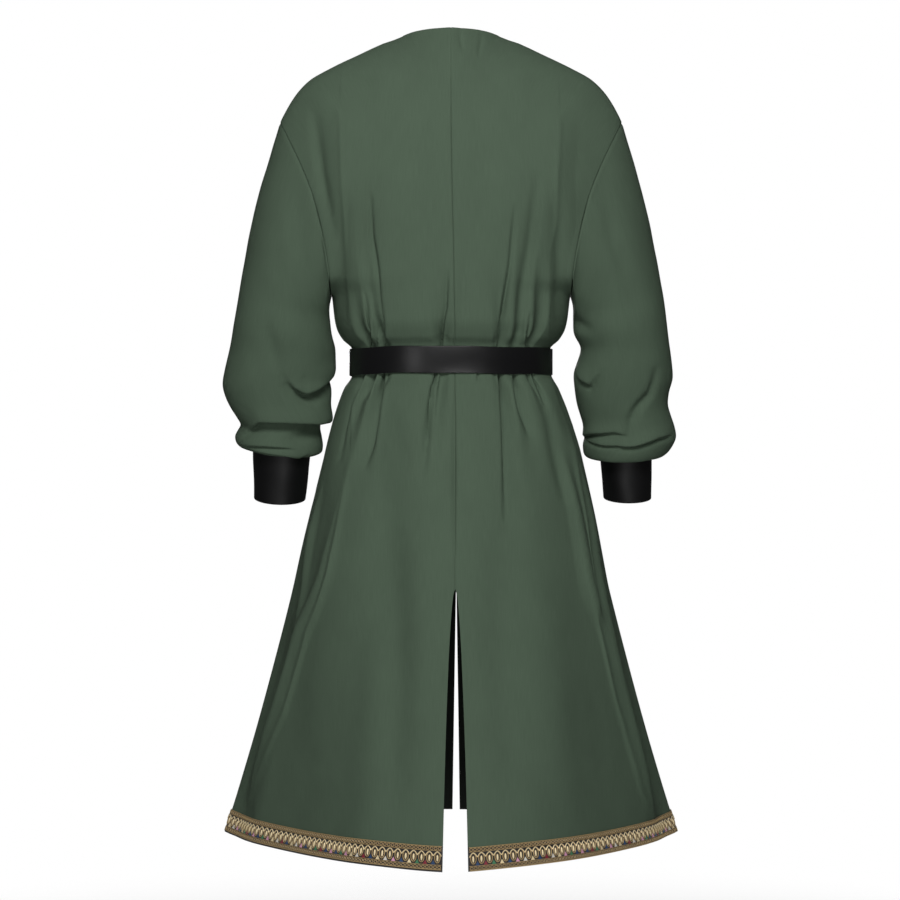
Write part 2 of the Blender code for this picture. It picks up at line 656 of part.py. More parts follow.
def share_normals(surfaces):
    """Makes pieces that meet at a seam use one direction there, so that their walls meet edge to edge."""
    meeting = {}
    for surface in surfaces:
        for points, directions in zip(surface["rows"], surface["normals"]):
            for k, point in enumerate(points):
                key = tuple(round(c, 5) for c in point)
                meeting.setdefault(key, []).append((directions, k))
    for places in meeting.values():
        own = [directions[k].copy() for directions, k in places]
        total = sum(own, Vector())
        for (directions, k), mine in zip(places, own):
            if len(own) > 1 and total.length > 0.2 and mine.dot(total.normalized()) > 0.85:
                directions[k] = total.normalized()


def pull_back(rows, closed, distance):
    """Moves the points of a surface's edges inwards along the surface, which opens the seam's gap."""
    moved = [[p.copy() for p in row] for row in rows]
    for i in range(len(rows[0])):
        moved[0][i] += (rows[1][i] - rows[0][i]).normalized() * distance
        moved[-1][i] += (rows[-2][i] - rows[-1][i]).normalized() * distance
    if not closed:
        for j, row in enumerate(rows):
            moved[j][0] += (row[1] - row[0]).normalized() * distance
            moved[j][-1] += (row[-2] - row[-1]).normalized() * distance
    return moved


def wall_object(name, outer, inner, closed, finish, collection):
    """A closed wall between two grids of points."""
    mesh = bpy.data.meshes.new(name)
    shape = bmesh.new()
    layers = [[[shape.verts.new(p) for p in row] for row in grid] for grid in (outer, inner)]
    rows, count = len(outer), len(outer[0])
    spans = count if closed else count - 1
    for j in range(rows - 1):
        for i in range(spans):
            n = (i + 1) % count
            for layer in layers:
                shape.faces.new((layer[j][i], layer[j][n], layer[j + 1][n], layer[j + 1][i]))
    for j in (0, rows - 1):
        for i in range(spans):
            n = (i + 1) % count
            shape.faces.new((layers[0][j][i], layers[0][j][n], layers[1][j][n], layers[1][j][i]))
    if not closed:
        for i in (0, count - 1):
            for j in range(rows - 1):
                shape.faces.new((layers[0][j][i], layers[0][j + 1][i], layers[1][j + 1][i], layers[1][j][i]))
    bmesh.ops.recalc_face_normals(shape, faces=shape.faces)
    shape.to_mesh(mesh)
    shape.free()
    mesh.shade_smooth()
    mesh.set_sharp_from_angle(angle=math.radians(50))
    obj = bpy.data.objects.new(name, mesh)
    obj.data.materials.append(finish)
    collection.objects.link(obj)
    return obj


def cloth_surfaces():
    """Every cloth piece as a named outer surface with its normals, matched at the seams."""
    panels = {(face, side): body_panel(face, side) for face in ("back", "front") for side in (1, -1)}
    surfaces = []
    for (face, side), (rows, normals) in panels.items():
        name = f"{face}_{SIDE_NAMES[side]}"
        surfaces.append({"name": name, "rows": rows, "normals": normals, "closed": False})
    for side in (1, -1):
        rows = sleeve_surface(side, panels)
        normals = grid_normals(rows, closed=True, facing=side)
        surfaces.append({"name": f"sleeve_{SIDE_NAMES[side]}", "rows": rows, "normals": normals, "closed": True})
    share_normals(surfaces)
    for surface in surfaces:
        surface["rows"] = kept_in_half(pull_back(surface["rows"], surface["closed"], seam_gap / 2), surface)
    return surfaces


def kept_in_half(rows, surface):
    """Body panels stay behind or before the plane of the shoulder and side seams, off the seam's gap."""
    if surface["closed"]:
        return rows
    sign = 1 if "back" in surface["name"] else -1
    for points in rows:
        for p in points:
            p.y = sign * max(sign * p.y, seam_gap / 2)
    return rows


def moved_out(surface, distance, last=0):
    """A surface's grid moved out along its normals, or only its last rows."""
    rows = []
    for points, directions in zip(surface["rows"][-last:], surface["normals"][-last:]):
        rows.append([p + n * distance for p, n in zip(points, directions)])
    return kept_in_half(rows, surface)


def make_cloth(surfaces, finish, collection):
    for surface in surfaces:
        inner = moved_out(surface, -cloth_thickness)
        wall_object(surface["name"], surface["rows"], inner, surface["closed"], finish, collection)


def make_trims(surfaces, finish, collection):
    """The woven band lies on the last row of each body panel."""
    for surface in surfaces:
        if surface["closed"]:
            continue
        under = moved_out(surface, lay_gap, 2)
        over = moved_out(surface, lay_gap + trim_thickness, 2)
        wall_object(f"trim_{surface['name']}", over, under, False, finish, collection)


def make_cuffs(finish, collection):
    for side, rings in cuffs.items():
        outer = [oval(ring, side, cuff_points) for ring in rings]
        inner = [oval(narrower(ring, cuff_thickness), side, cuff_points) for ring in rings]
        wall_object(f"cuff_{SIDE_NAMES[side]}", outer, inner, True, finish, collection)


def belt_ring():
    """Points of the belt's ring from the centre front, and how far round each one lies."""
    height = belt_height + belt_width / 2
    half_width = outline_at(height) + belt_clearance
    power = read(depths, "height", "back_power", height)
    points = []
    for k in range(401):
        turn = 2 * math.pi * k / 400
        depth = read(depths, "height", "front" if math.cos(turn) > 0 else "back", height) + belt_clearance
        across = math.copysign(abs(math.sin(turn)) ** (2 / power), math.sin(turn))
        forward = math.copysign(abs(math.cos(turn)) ** (2 / power), math.cos(turn))
        points.append(Vector((half_width * across, -depth * forward)))
    lengths = [0.0]
    for a, b in zip(points, points[1:]):
        lengths.append(lengths[-1] + (b - a).length)
    return points, lengths


def belt_point(ring, place, offset, height):
    points, lengths = ring
    place %= lengths[-1]
    k = max(i for i in range(400) if lengths[i] <= place)
    share = (place - lengths[k]) / (lengths[k + 1] - lengths[k])

    def direction(i):
        step = points[(i + 1) % 400] - points[(i - 1) % 400]
        return Vector((step.y, -step.x)).normalized()

    outward = direction(k).lerp(direction(k + 1), share).normalized()
    flat = points[k].lerp(points[k + 1], share) + outward * offset
    return Vector((flat.x, flat.y, belt_height + height))


def strap_path(length):
    """The middle line of the whole strap as places and offsets."""
    path = []
    for row in strap_start:
        path.append(Vector((row["place"], row["offset"])))
        if "turns_back" in row:
            radius = bar_radius + lay_gap + belt_thickness / 2
            for k in range(1, 9):
                angle = math.pi * k / 9
                across = Vector((-math.sin(angle), 1 - math.cos(angle)))
                path.append(Vector((row["place"], row["offset"])) + across * radius)
    first = path[-1].x
    last = length + strap_tail[0]["place"]
    path += [Vector((mix(first, last, k / belt_steps), 0.0012)) for k in range(1, belt_steps)]
    path += [Vector((length + row["place"], row["offset"])) for row in strap_tail]
    return path


def make_strap(ring, finish, collection, cutters):
    """One strip with a rounded tail, slotted for the prong at the fold and punched where it passes."""
    path = strap_path(ring[1][-1])
    half = belt_width / 2
    outer, inner = [], []
    for k, point in enumerate(path):
        step = path[min(k + 1, len(path) - 1)] - path[max(k - 1, 0)]
        left = Vector((-step.y, step.x)).normalized() * belt_thickness / 2
        narrow = {len(path) - 1: 0.45}.get(k, 1.0)
        outer.append([belt_point(ring, *(point + left), half * narrow * v) for v in (1, -1)])
        inner.append([belt_point(ring, *(point - left), half * narrow * v) for v in (1, -1)])
    strap = wall_object("belt_strap", outer, inner, False, finish, collection)
    slots = {"prong_slot": (0.0178, 0.0276, -0.0020, 0.0087), "prong_hole": (0.0010, 0.0172, 0.0000, 0.0125)}
    for name, (start, end, low, high) in slots.items():
        edges = [[belt_point(ring, place, offset, slot_half_width * v) for v in (1, -1)]
                 for place, offset in ((start, high), (end, high))]
        under = [[belt_point(ring, place, offset, slot_half_width * v) for v in (1, -1)]
                 for place, offset in ((start, low), (end, low))]
        cutter = wall_object(name, edges, under, False, finish, cutters)
        cutter.hide_render = True
        cutter.display_type = "WIRE"
        cut = strap.modifiers.new(name, "BOOLEAN")
        cut.operation = "DIFFERENCE"
        cut.solver = "EXACT"
        cut.object = cutter
    return strap


def rod_object(name, points, radius, sides, closed, flat, finish, collection):
    """A round rod along points. flat is a direction that no part of the rod runs along."""
    shape = bmesh.new()
    count = len(points)
    rings = []
    for k, point in enumerate(points):
        if closed:
            step = points[(k + 1) % count] - points[k - 1]
        else:
            step = points[min(k + 1, count - 1)] - points[max(k - 1, 0)]
        first = step.cross(flat).normalized()
        second = step.cross(first).normalized()
        turns = [2 * math.pi * i / sides for i in range(sides)]
        rings.append([shape.verts.new(point + (first * math.cos(a) + second * math.sin(a)) * radius) for a in turns])
    for k in range(count if closed else count - 1):
        a, b = rings[k], rings[(k + 1) % count]
        for i in range(sides):
            n = (i + 1) % sides
            shape.faces.new((a[i], a[n], b[n], b[i]))
    if not closed:
        shape.faces.new(rings[0])
        shape.faces.new(rings[-1])
    bmesh.ops.recalc_face_normals(shape, faces=shape.faces)
    mesh = bpy.data.meshes.new(name)
    shape.to_mesh(mesh)
    shape.free()
    mesh.shade_smooth()
    mesh.set_sharp_from_angle(angle=math.radians(50))
    obj = bpy.data.objects.new(name, mesh)
    obj.data.materials.append(finish)
    collection.objects.link(obj)
    return obj


def make_buckle(ring, finish, collection):
    corner_steps = 5
    points = []
    for sx, sz, start in ((1, 1, 0), (-1, 1, 90), (-1, -1, 180), (1, -1, 270)):
        for k in range(corner_steps):
            angle = math.radians(start + 90 * k / (corner_steps - 1))
            place = sx * (buckle_reach - buckle_corner) + buckle_corner * math.cos(angle)
            height = sz * (buckle_half_height - buckle_corner) + buckle_corner * math.sin(angle)
            points.append(belt_point(ring, place, buckle_offset, height))
    rod_object("belt_buckle", points, bar_radius, 10, True, Vector((0, 1, 0)), finish, collection)


def make_prong(ring, finish, collection):
    """A hook round the heel bar with a straight tongue that rests on the front bar."""
    hook = bar_radius + lay_gap + prong_radius
    points = []
    for k in range(11):
        angle = math.radians(mix(-150, 90, k / 10))
        place = buckle_reach + hook * math.cos(angle)
        points.append(belt_point(ring, place, buckle_offset + hook * math.sin(angle), 0.0))
    for place in (0.012, 0.0, -0.012, -buckle_reach - 0.0022):
        points.append(belt_point(ring, place, prong_height, 0.0))
    rod_object("belt_prong", points, prong_radius, 8, False, Vector((0, 0, 1)), finish, collection)


def make_keeper(ring, finish, collection):
    half = belt_width / 2 + lay_gap
    low, high = keeper_offsets
    grids = []
    for grow in (keeper_thickness, 0.0):
        box = (low + keeper_thickness - grow, high - keeper_thickness + grow, half + grow)
        corners = ((box[0], -1), (box[1], -1), (box[1], 1), (box[0], 1))
        grids.append([[belt_point(ring, place, offset, box[2] * v) for offset, v in corners]
                      for place in keeper_places])
    wall_object("belt_keeper", grids[0], grids[1], True, finish, collection)


def new_collection(name):
    collection = bpy.data.collections.new(name)
    bpy.context.scene.collection.children.link(collection)
    return collection


def new_material(name, colour, roughness, metallic):
    material = bpy.data.materials.new(name)
    material.use_nodes = True
    shader = material.node_tree.nodes["Principled BSDF"]
    shader.inputs["Base Color"].default_value = colour
    shader.inputs["Roughness"].default_value = roughness
    shader.inputs["Metallic"].default_value = metallic
    material.diffuse_color = colour
    return material


def main():
    clear_scene()
    robe = new_collection("robe")
    cutters = new_collection("cutters")
    cloth = new_material("green cloth", cloth_green, 0.85, 0.0)
    leather = new_material("black leather", leather_black, 0.35, 0.0)
    braid = new_material("gold braid", braid_gold, 0.55, 0.3)
    steel = new_material("buckle steel", buckle_steel, 0.3, 1.0)
    surfaces = cloth_surfaces()
    make_cloth(surfaces, cloth, robe)
    make_trims(surfaces, braid, robe)
    make_cuffs(leather, robe)
    ring = belt_ring()
    make_strap(ring, leather, robe, cutters)
    make_buckle(ring, steel, robe)
    make_prong(ring, steel, robe)
    make_keeper(ring, leather, robe)


main()
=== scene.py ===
import math

import bmesh
import bpy
import numpy as np
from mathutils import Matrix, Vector, noise


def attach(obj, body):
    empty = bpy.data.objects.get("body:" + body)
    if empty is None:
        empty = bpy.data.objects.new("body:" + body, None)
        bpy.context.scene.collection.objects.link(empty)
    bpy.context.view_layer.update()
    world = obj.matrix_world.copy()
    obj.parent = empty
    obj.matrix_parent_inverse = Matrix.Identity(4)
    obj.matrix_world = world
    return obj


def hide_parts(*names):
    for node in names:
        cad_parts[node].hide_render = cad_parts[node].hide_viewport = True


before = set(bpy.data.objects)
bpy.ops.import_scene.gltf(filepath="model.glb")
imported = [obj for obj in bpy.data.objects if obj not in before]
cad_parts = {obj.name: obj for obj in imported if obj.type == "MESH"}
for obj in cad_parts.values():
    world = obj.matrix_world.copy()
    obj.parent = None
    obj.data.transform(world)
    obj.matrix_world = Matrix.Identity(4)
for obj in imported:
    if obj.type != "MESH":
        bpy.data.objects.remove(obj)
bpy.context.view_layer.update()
print("loaded the frame:", len(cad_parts), "nodes")


def table(columns, rows):
    return dict(zip(columns.split(), np.array(rows, float).T))


def mix(a, b, share):
    return a + (b - a) * share


def ramp(low, high, value):
    share = np.clip((value - low) / (high - low), 0.0, 1.0)
    return share * share * (3 - 2 * share)


# A smooth curve through a table's values with no overshoot
def smoothCurve(places, values, at):
    order = np.argsort(places)
    places, values = np.asarray(places)[order], np.asarray(values)[order]
    at = np.clip(at, places[0], places[-1])
    spans = np.diff(places)
    slopes = np.diff(values) / spans
    product = slopes[:-1] * slopes[1:]
    total = slopes[:-1] + slopes[1:]
    middle = np.where(product > 0, 2 * product / np.where(total == 0, 1, total), 0)
    tangents = np.concatenate([slopes[:1], middle, slopes[-1:]])
    i = np.clip(np.searchsorted(places, at, side="right") - 1, 0, len(places) - 2)
    t = (at - places[i]) / spans[i]
    return (
        (2 * t**3 - 3 * t**2 + 1) * values[i]
        + (t**3 - 2 * t**2 + t) * spans[i] * tangents[i]
        + (3 * t**2 - 2 * t**3) * values[i + 1]
        + (t**3 - t**2) * spans[i] * tangents[i + 1]
    )


# A piece's name and its node's name on the wearer's left (1) or right (-1)
def sideName(start, side):
    return start + ("Left" if side > 0 else "Right")


def sideNode(start, side):
    return start + ("_left" if side > 0 else "_right")


def lengthsOf(points):
    return np.concatenate([[0], np.cumsum(np.linalg.norm(np.diff(points, axis=0), axis=1))])


# Points at shares of a smooth curve's length
def curvePoints(points, shares):
    points = np.asarray(points, float)
    lengths = lengthsOf(points)
    at = np.asarray(shares) * lengths[-1]
    return np.stack([smoothCurve(lengths, column, at) for column in points.T], axis=-1)


# The cut of the body, in the same named sizes as the solids
body = {
    "hem": -1.1525,
    "underarm": -0.378,
    "belt": -0.473,
    "beltWidth": 0.038,
    "ventTop": -0.790,
    "rounding": 0.16,
    "sideFlatness": 0.39,
    "roundAbove": -0.26,
    "levelBelow": -0.40,
    "drift": {"back": -0.0056, "front": -0.0080},
    "driftBetween": (-0.10, -0.46),
    "ventWidth": {"back": 0.0345, "front": 0.0112},
    "ventPower": {"back": 0.5, "front": 1.0},
    "neckShare": {"back": 3 / 11, "front": 7 / 11},
    "neckBlend": 0.05,
    "clothThickness": 0.0009,
    "seamGap": 0.00004,
    "outline": table(
        "height halfWidth",
        [
            (0.040, 0.0580), (0.015, 0.0640), (0.000, 0.0695), (-0.0113, 0.0985), (-0.0287, 0.1360),
            (-0.0461, 0.1730), (-0.0635, 0.2037), (-0.0809, 0.2215), (-0.0983, 0.2335), (-0.1157, 0.2430),
            (-0.1260, 0.2480), (-0.1500, 0.2568), (-0.1750, 0.2630), (-0.2050, 0.2665), (-0.2400, 0.2650),
            (-0.2800, 0.2540), (-0.3200, 0.2310), (-0.3550, 0.2000), (-0.3780, 0.1730), (-0.3950, 0.1708),
            (-0.4100, 0.1690), (-0.4250, 0.1655), (-0.4400, 0.1570), (-0.4535, 0.1437), (-0.4730, 0.1425),
            (-0.4925, 0.1437), (-0.5100, 0.1545), (-0.5300, 0.1625), (-0.5500, 0.1690), (-0.5850, 0.1785),
            (-0.6200, 0.1865), (-0.7000, 0.2055), (-0.8000, 0.2290), (-0.9000, 0.2545), (-1.0000, 0.2815),
            (-1.0800, 0.3050), (-1.1525, 0.3275),
        ],
    ),
    "depths": table(
        "height back front backPower frontPower",
        [
            (0.040, 0.045, 0.034, 2.0, 2.0), (0.004, 0.063, 0.048, 2.0, 2.0), (-0.040, 0.083, 0.064, 2.0, 2.0),
            (-0.080, 0.091, 0.077, 2.0, 2.0), (-0.130, 0.099, 0.090, 2.0, 2.0), (-0.190, 0.106, 0.098, 2.0, 2.0),
            (-0.260, 0.111, 0.103, 2.0, 2.0), (-0.330, 0.115, 0.107, 2.1, 2.1), (-0.380, 0.119, 0.111, 2.2, 2.2),
            (-0.415, 0.120, 0.113, 2.2, 2.2), (-0.440, 0.112, 0.107, 2.2, 2.2), (-0.4535, 0.1025, 0.0985, 2.2, 2.2),
            (-0.473, 0.1015, 0.0975, 2.2, 2.2), (-0.4925, 0.1025, 0.0985, 2.2, 2.2), (-0.510, 0.111, 0.104, 2.2, 2.2),
            (-0.550, 0.125, 0.113, 2.1, 2.1), (-0.620, 0.149, 0.126, 2.0, 2.0), (-0.700, 0.176, 0.139, 1.85, 1.9),
            (-0.800, 0.210, 0.154, 1.7, 1.8), (-0.920, 0.249, 0.171, 1.57, 1.7), (-1.040, 0.287, 0.187, 1.48, 1.65),
            (-1.1525, 0.324, 0.203, 1.4, 1.6),
        ],
    ),
    "armhole": [
        (0.2480, -0.1260), (0.2300, -0.1620), (0.2120, -0.2000), (0.1965, -0.2400),
        (0.1860, -0.2800), (0.1785, -0.3200), (0.1740, -0.3550), (0.1730, -0.3780),
    ],
    "neck": {
        "back": [(0.0695, 0.0000), (0.0480, 0.0030), (0.0240, 0.0042), (0.0000, 0.0045)],
        "front": [
            (0.0695, 0.0000), (0.0660, -0.0280), (0.0570, -0.0560), (0.0430, -0.0850),
            (0.0290, -0.1150), (0.0170, -0.1500), (0.0075, -0.1850), (0.0000, -0.2150),
        ],
    },
}

# The gathers at the belt and the flares of the skirt that the solids have too. A place is the share of
# the way round from the centre seam to the side seam. Gathers: place at the belt, place and length of the
# upper end, place and length of the lower end, depth. Flares: place, width, depth. Ridges: width, then rows
# of height, place and depth.
gathers = {
    "halfWidth": 0.055,
    "spread": 0.060,
    "underBelt": 0.45,
    "underBeltLength": 0.10,
    "seamMargin": 0.05,
    "flareStart": -0.56,
    ("back", 1): [
        (0.075, 0.055, 0.11, 0.17, 0.22, 0.0085), (0.455, 0.50, 0.24, 0.49, 0.20, 0.0100),
        (0.580, 0.60, 0.13, 0.64, 0.16, 0.0085),
    ],
    ("back", -1): [
        (0.290, 0.22, 0.14, 0.27, 0.24, 0.0090), (0.405, 0.40, 0.20, 0.42, 0.18, 0.0080),
        (0.545, 0.55, 0.14, 0.62, 0.12, 0.0090),
    ],
    ("front", 1): [(0.330, 0.38, 0.12, 0.36, 0.20, 0.0085), (0.600, 0.62, 0.16, 0.64, 0.16, 0.0090)],
    ("front", -1): [(0.260, 0.24, 0.15, 0.30, 0.18, 0.0080), (0.520, 0.56, 0.12, 0.55, 0.22, 0.0095)],
    "flares": {
        ("back", 1): [(0.20, 0.14, 0.008), (0.52, 0.30, -0.012), (0.82, 0.17, -0.010)],
        ("back", -1): [(0.20, 0.22, 0.014), (0.36, 0.16, 0.005), (0.82, 0.18, -0.009)],
        ("front", 1): [(0.40, 0.18, 0.012), (0.74, 0.13, -0.009)],
        ("front", -1): [(0.34, 0.18, 0.012), (0.70, 0.14, -0.009)],
    },
    "ridges": {
        ("back", 1): [
            (0.085, [
                (-0.640, 0.570, 0.000), (-0.775, 0.573, 0.006), (-0.880, 0.660, 0.011),
                (-0.970, 0.705, 0.011), (-1.045, 0.776, 0.006), (-1.110, 0.810, 0.000),
            ]),
            (0.070, [(-0.640, 0.810, 0.000), (-0.730, 0.783, 0.006), (-0.810, 0.722, 0.005), (-0.885, 0.670, 0.000)]),
        ],
        ("back", -1): [
            (0.085, [
                (-0.600, 0.790, 0.000), (-0.700, 0.754, 0.008), (-0.780, 0.700, 0.010), (-0.880, 0.672, 0.012),
                (-0.980, 0.687, 0.012), (-1.060, 0.705, 0.009), (-1.135, 0.720, 0.000),
            ]),
            (0.065, [(-0.600, 0.640, 0.000), (-0.700, 0.620, 0.006), (-0.800, 0.600, 0.005), (-0.880, 0.660, 0.000)]),
        ],
    },
    "ridgeSharpness": 0.22,
}


facing = {"back": 1, "front": -1}


def halfWidth(height):
    return smoothCurve(body["outline"]["height"], body["outline"]["halfWidth"], height)


outlineHeights = np.linspace(0.04, -0.42, 91)
outlinePoints = np.stack([halfWidth(outlineHeights), outlineHeights], axis=1)


def distanceToOutline(x, z):
    a, b = outlinePoints[:-1], outlinePoints[1:]
    edge = b - a
    here = np.stack([x, z], axis=-1)[..., None, :] - a
    share = np.clip((here * edge).sum(-1) / (edge**2).sum(-1), 0, 1)
    return np.linalg.norm(here - edge * share[..., None], axis=-1).min(-1)


def bodyDepth(x, z, face):
    half = halfWidth(z)
    x = np.minimum(np.abs(x), half)
    heights = body["depths"]["height"]
    power = smoothCurve(heights, body["depths"][face + "Power"], z)
    depth = smoothCurve(heights, body["depths"][face], z)
    lower = ramp(-body["roundAbove"], -body["levelBelow"], -z)
    inward = 1 - x / half
    upperInward = np.minimum(distanceToOutline(x, z) / body["rounding"], 1)
    inward = mix(upperInward, inward, lower)
    depth = depth * (1 - body["sideFlatness"] * (x / 0.25) ** 2 * (1 - lower))
    return depth * (1 - (1 - np.clip(inward, 0, 1)) ** power) ** (1 / power)


def centreLine(z, face, side):
    start, end = body["driftBetween"]
    drift = body["drift"][face] * ramp(-start, -end, -z)
    fall = (body["ventTop"] - z) / (body["ventTop"] - body["hem"])
    opening = np.maximum(fall, 0) ** body["ventPower"][face]
    return side * drift + opening * body["ventWidth"][face] / 2


def gatherPush(face, side, place, z):
    beltTop, beltBottom = body["belt"] + body["beltWidth"] / 2, body["belt"] - body["beltWidth"] / 2
    push = np.zeros(np.broadcast(place, z).shape)
    for at, upPlace, up, downPlace, down, depth in gathers[(face, side)]:
        above = np.clip((z - beltTop) / up, 0, 1)
        below = np.clip((beltBottom - z) / down, 0, 1)
        share = above + below
        centre = at + (upPlace - at) * above + (downPlace - at) * below
        off = np.abs(place - centre) / (gathers["halfWidth"] + gathers["spread"] * share)
        pressed = mix(gathers["underBelt"], 1, ramp(0, gathers["underBeltLength"], share))
        bell = np.where(off < 1, 0.5 + 0.5 * np.cos(np.pi * np.minimum(off, 1)), 0)
        push -= depth * pressed * (1 - share) ** 1.3 * bell
    for at, wide, depth in gathers["flares"][(face, side)]:
        off = np.minimum(np.abs(place - at) / wide, 1)
        push += depth * ramp(-gathers["flareStart"], -body["hem"], -z) * (0.5 + 0.5 * np.cos(np.pi * off))
    for wide, rows in gathers["ridges"].get((face, side), []):
        rows = table("height place depth", rows)
        off = np.abs(place - smoothCurve(rows["height"], rows["place"], z)) / wide
        bell = 0.5 + 0.5 * np.cos(np.pi * np.minimum(off, 1))
        sharp = np.exp(-(np.sqrt(off**2 + 0.0016) - 0.04) / gathers["ridgeSharpness"])
        push += smoothCurve(rows["height"], rows["depth"], z) * (0.65 * bell + 0.65 * sharp)
    margin = gathers["seamMargin"]
    return push * ramp(0, margin, place) * ramp(0, margin, 1 - place)


# Reads creases written as "kind depth width: place height, place height; ..." in millimetres
def creaseRows(text, placeUnit=0.001):
    rows = []
    for row in text.split(";"):
        head, line = row.split(":")
        kind, depth, width = head.split()
        points = [[float(v) for v in point.split()] for point in line.split(",")]
        points = [(place * placeUnit, height / 1000) for place, height in points]
        rows.append((points, float(depth) / 1000, float(width) / 1000, kind))
    return rows


# Creases are soft troughs, ridges and laps that lie on a panel along a line of (x, height) points.
# pinch is a narrow groove, deepest at its first point, whose outer side lies lower. soft and ridge are
# deepest in the middle, lap folds over what is below it, and crest is a ridge that falls away outwards.
def creasePush(x, z, rows):
    total = np.zeros(x.shape)
    sag = np.zeros(x.shape)
    for points, depth, width, kind in rows:
        points = np.array(points)
        lengths = lengthsOf(points)
        nearest = np.full(x.shape, 1e9)
        share = np.zeros(x.shape)
        above = np.zeros(x.shape)
        outside = np.zeros(x.shape)
        for a, b, start in zip(points, points[1:], lengths):
            edge = b - a
            size = np.linalg.norm(edge)
            px, pz = x - a[0], z - a[1]
            t = np.clip((px * edge[0] + pz * edge[1]) / size**2, 0, 1)
            far = np.hypot(px - edge[0] * t, pz - edge[1] * t)
            closer = far < nearest
            nearest = np.where(closer, far, nearest)
            share = np.where(closer, (start + t * size) / lengths[-1], share)
            side = np.sign(points[-1][0] - points[0][0]) * (edge[0] * pz - edge[1] * px) / size
            above = np.where(closer, side, above)
            outside = np.where(closer, np.sign(px - edge[0] * t) * np.sign(points[0][0]), outside)
        if kind == "pinch":
            q = nearest / (width * (0.55 + 1.1 * share))
            groove = 0.75 * np.exp(-((q / 0.55) ** 2)) + 0.25 * np.exp(-(q**2))
            lower = 0.55 * (np.exp(-q / 2.0) - np.exp(-((q / 0.55) ** 2)))
            lip = 0.30 * np.exp(-(((q - 1.3) / 0.9) ** 2))
            total -= 1.25 * depth * (1 - share) ** 0.55 * (groove + np.where(outside > 0, lower, -lip))
        elif kind == "lap":
            fade = np.sin(np.pi * (0.02 + 0.96 * share)) ** 0.8
            q = nearest / width
            upper = 0.7 * np.exp(-((q / 1.5) ** 2))
            lower = -np.exp(-((q / 1.1) ** 2))
            edge = 0.5 + 0.5 * np.tanh(above / 0.0016)
            pastEnd = np.maximum(nearest - np.abs(above), 0) / width
            total += depth * fade * mix(lower, upper, edge) * np.exp(-(pastEnd**2))
            sag += 0.6 * depth * fade * edge * np.exp(-((q / 1.1) ** 2))
        elif kind == "crest":
            fade = np.sin(np.pi * (0.04 + 0.92 * share)) ** 0.6
            lip = 0.2 * np.exp(-((nearest / 0.0042) ** 2))
            beyond = np.maximum(0, 1 - nearest / (4 * width))
            total += depth * fade * (lip + np.where(outside > 0, beyond, np.exp(-nearest / (5 * width))))
        else:
            fade = np.sin(np.pi * (0.04 + 0.92 * share)) ** 0.6
            sign = 1 if kind == "ridge" else -1
            total += sign * depth * fade * np.exp(-((nearest / width) ** 2))
    return total, sag


def gridNormals(points, closed, facing):
    if closed:
        across = np.roll(points, -1, axis=1) - np.roll(points, 1, axis=1)
    else:
        across = np.concatenate(
            [points[:, 1:2] - points[:, :1], points[:, 2:] - points[:, :-2], points[:, -1:] - points[:, -2:-1]], axis=1
        )
    down = np.concatenate([points[1:2] - points[:1], points[2:] - points[:-2], points[-1:] - points[-2:-1]])
    normals = np.cross(down, across) * facing
    return normals / np.maximum(np.linalg.norm(normals, axis=-1, keepdims=True), 1e-12)


def noiseGrid(points, scale, seed):
    flat = points.reshape(-1, 3)
    sx, sy, sz = scale
    values = [noise.noise(Vector((p[0] * sx + seed, p[1] * sy, p[2] * sz))) for p in flat.tolist()]
    return np.array(values).reshape(points.shape[:-1])


def unevenCloth(points, layers, seeds):
    return sum(size * noiseGrid(points, scale, seed) for (size, scale), seed in zip(layers, seeds))


# Turns a mesh's faces outwards, smooths it between edges sharper than the angle and puts it in the scene
def finishedObject(mesh, materials, angle):
    shape = bmesh.new()
    shape.from_mesh(mesh)
    bmesh.ops.recalc_face_normals(shape, faces=shape.faces)
    shape.to_mesh(mesh)
    shape.free()
    mesh.shade_smooth()
    mesh.set_sharp_from_angle(angle=math.radians(angle))
    for material in materials:
        mesh.materials.append(material)
    obj = bpy.data.objects.new(mesh.name, mesh)
    bpy.context.scene.collection.objects.link(obj)
    return obj


# Every piece rides the one body, and hides the solid it stands for
def declare(obj, node):
    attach(obj, "root")
    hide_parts(node)


# Prints a sheet's flat size: its longest row and column, and the area of its faces
def declareSheet(obj, u, v, wholeArea=False):
    flat = (float(u[:, -1].max()), float(v[-1].max()))
    area = float((np.diff(u, axis=1)[:-1] * np.diff(v, axis=0)[:, :-1]).sum())
    area = flat[0] * flat[1] if wholeArea else min(area, flat[0] * flat[1])
    print("made", obj.name, "flat", [round(f, 3) for f in flat], "area", round(area, 4))


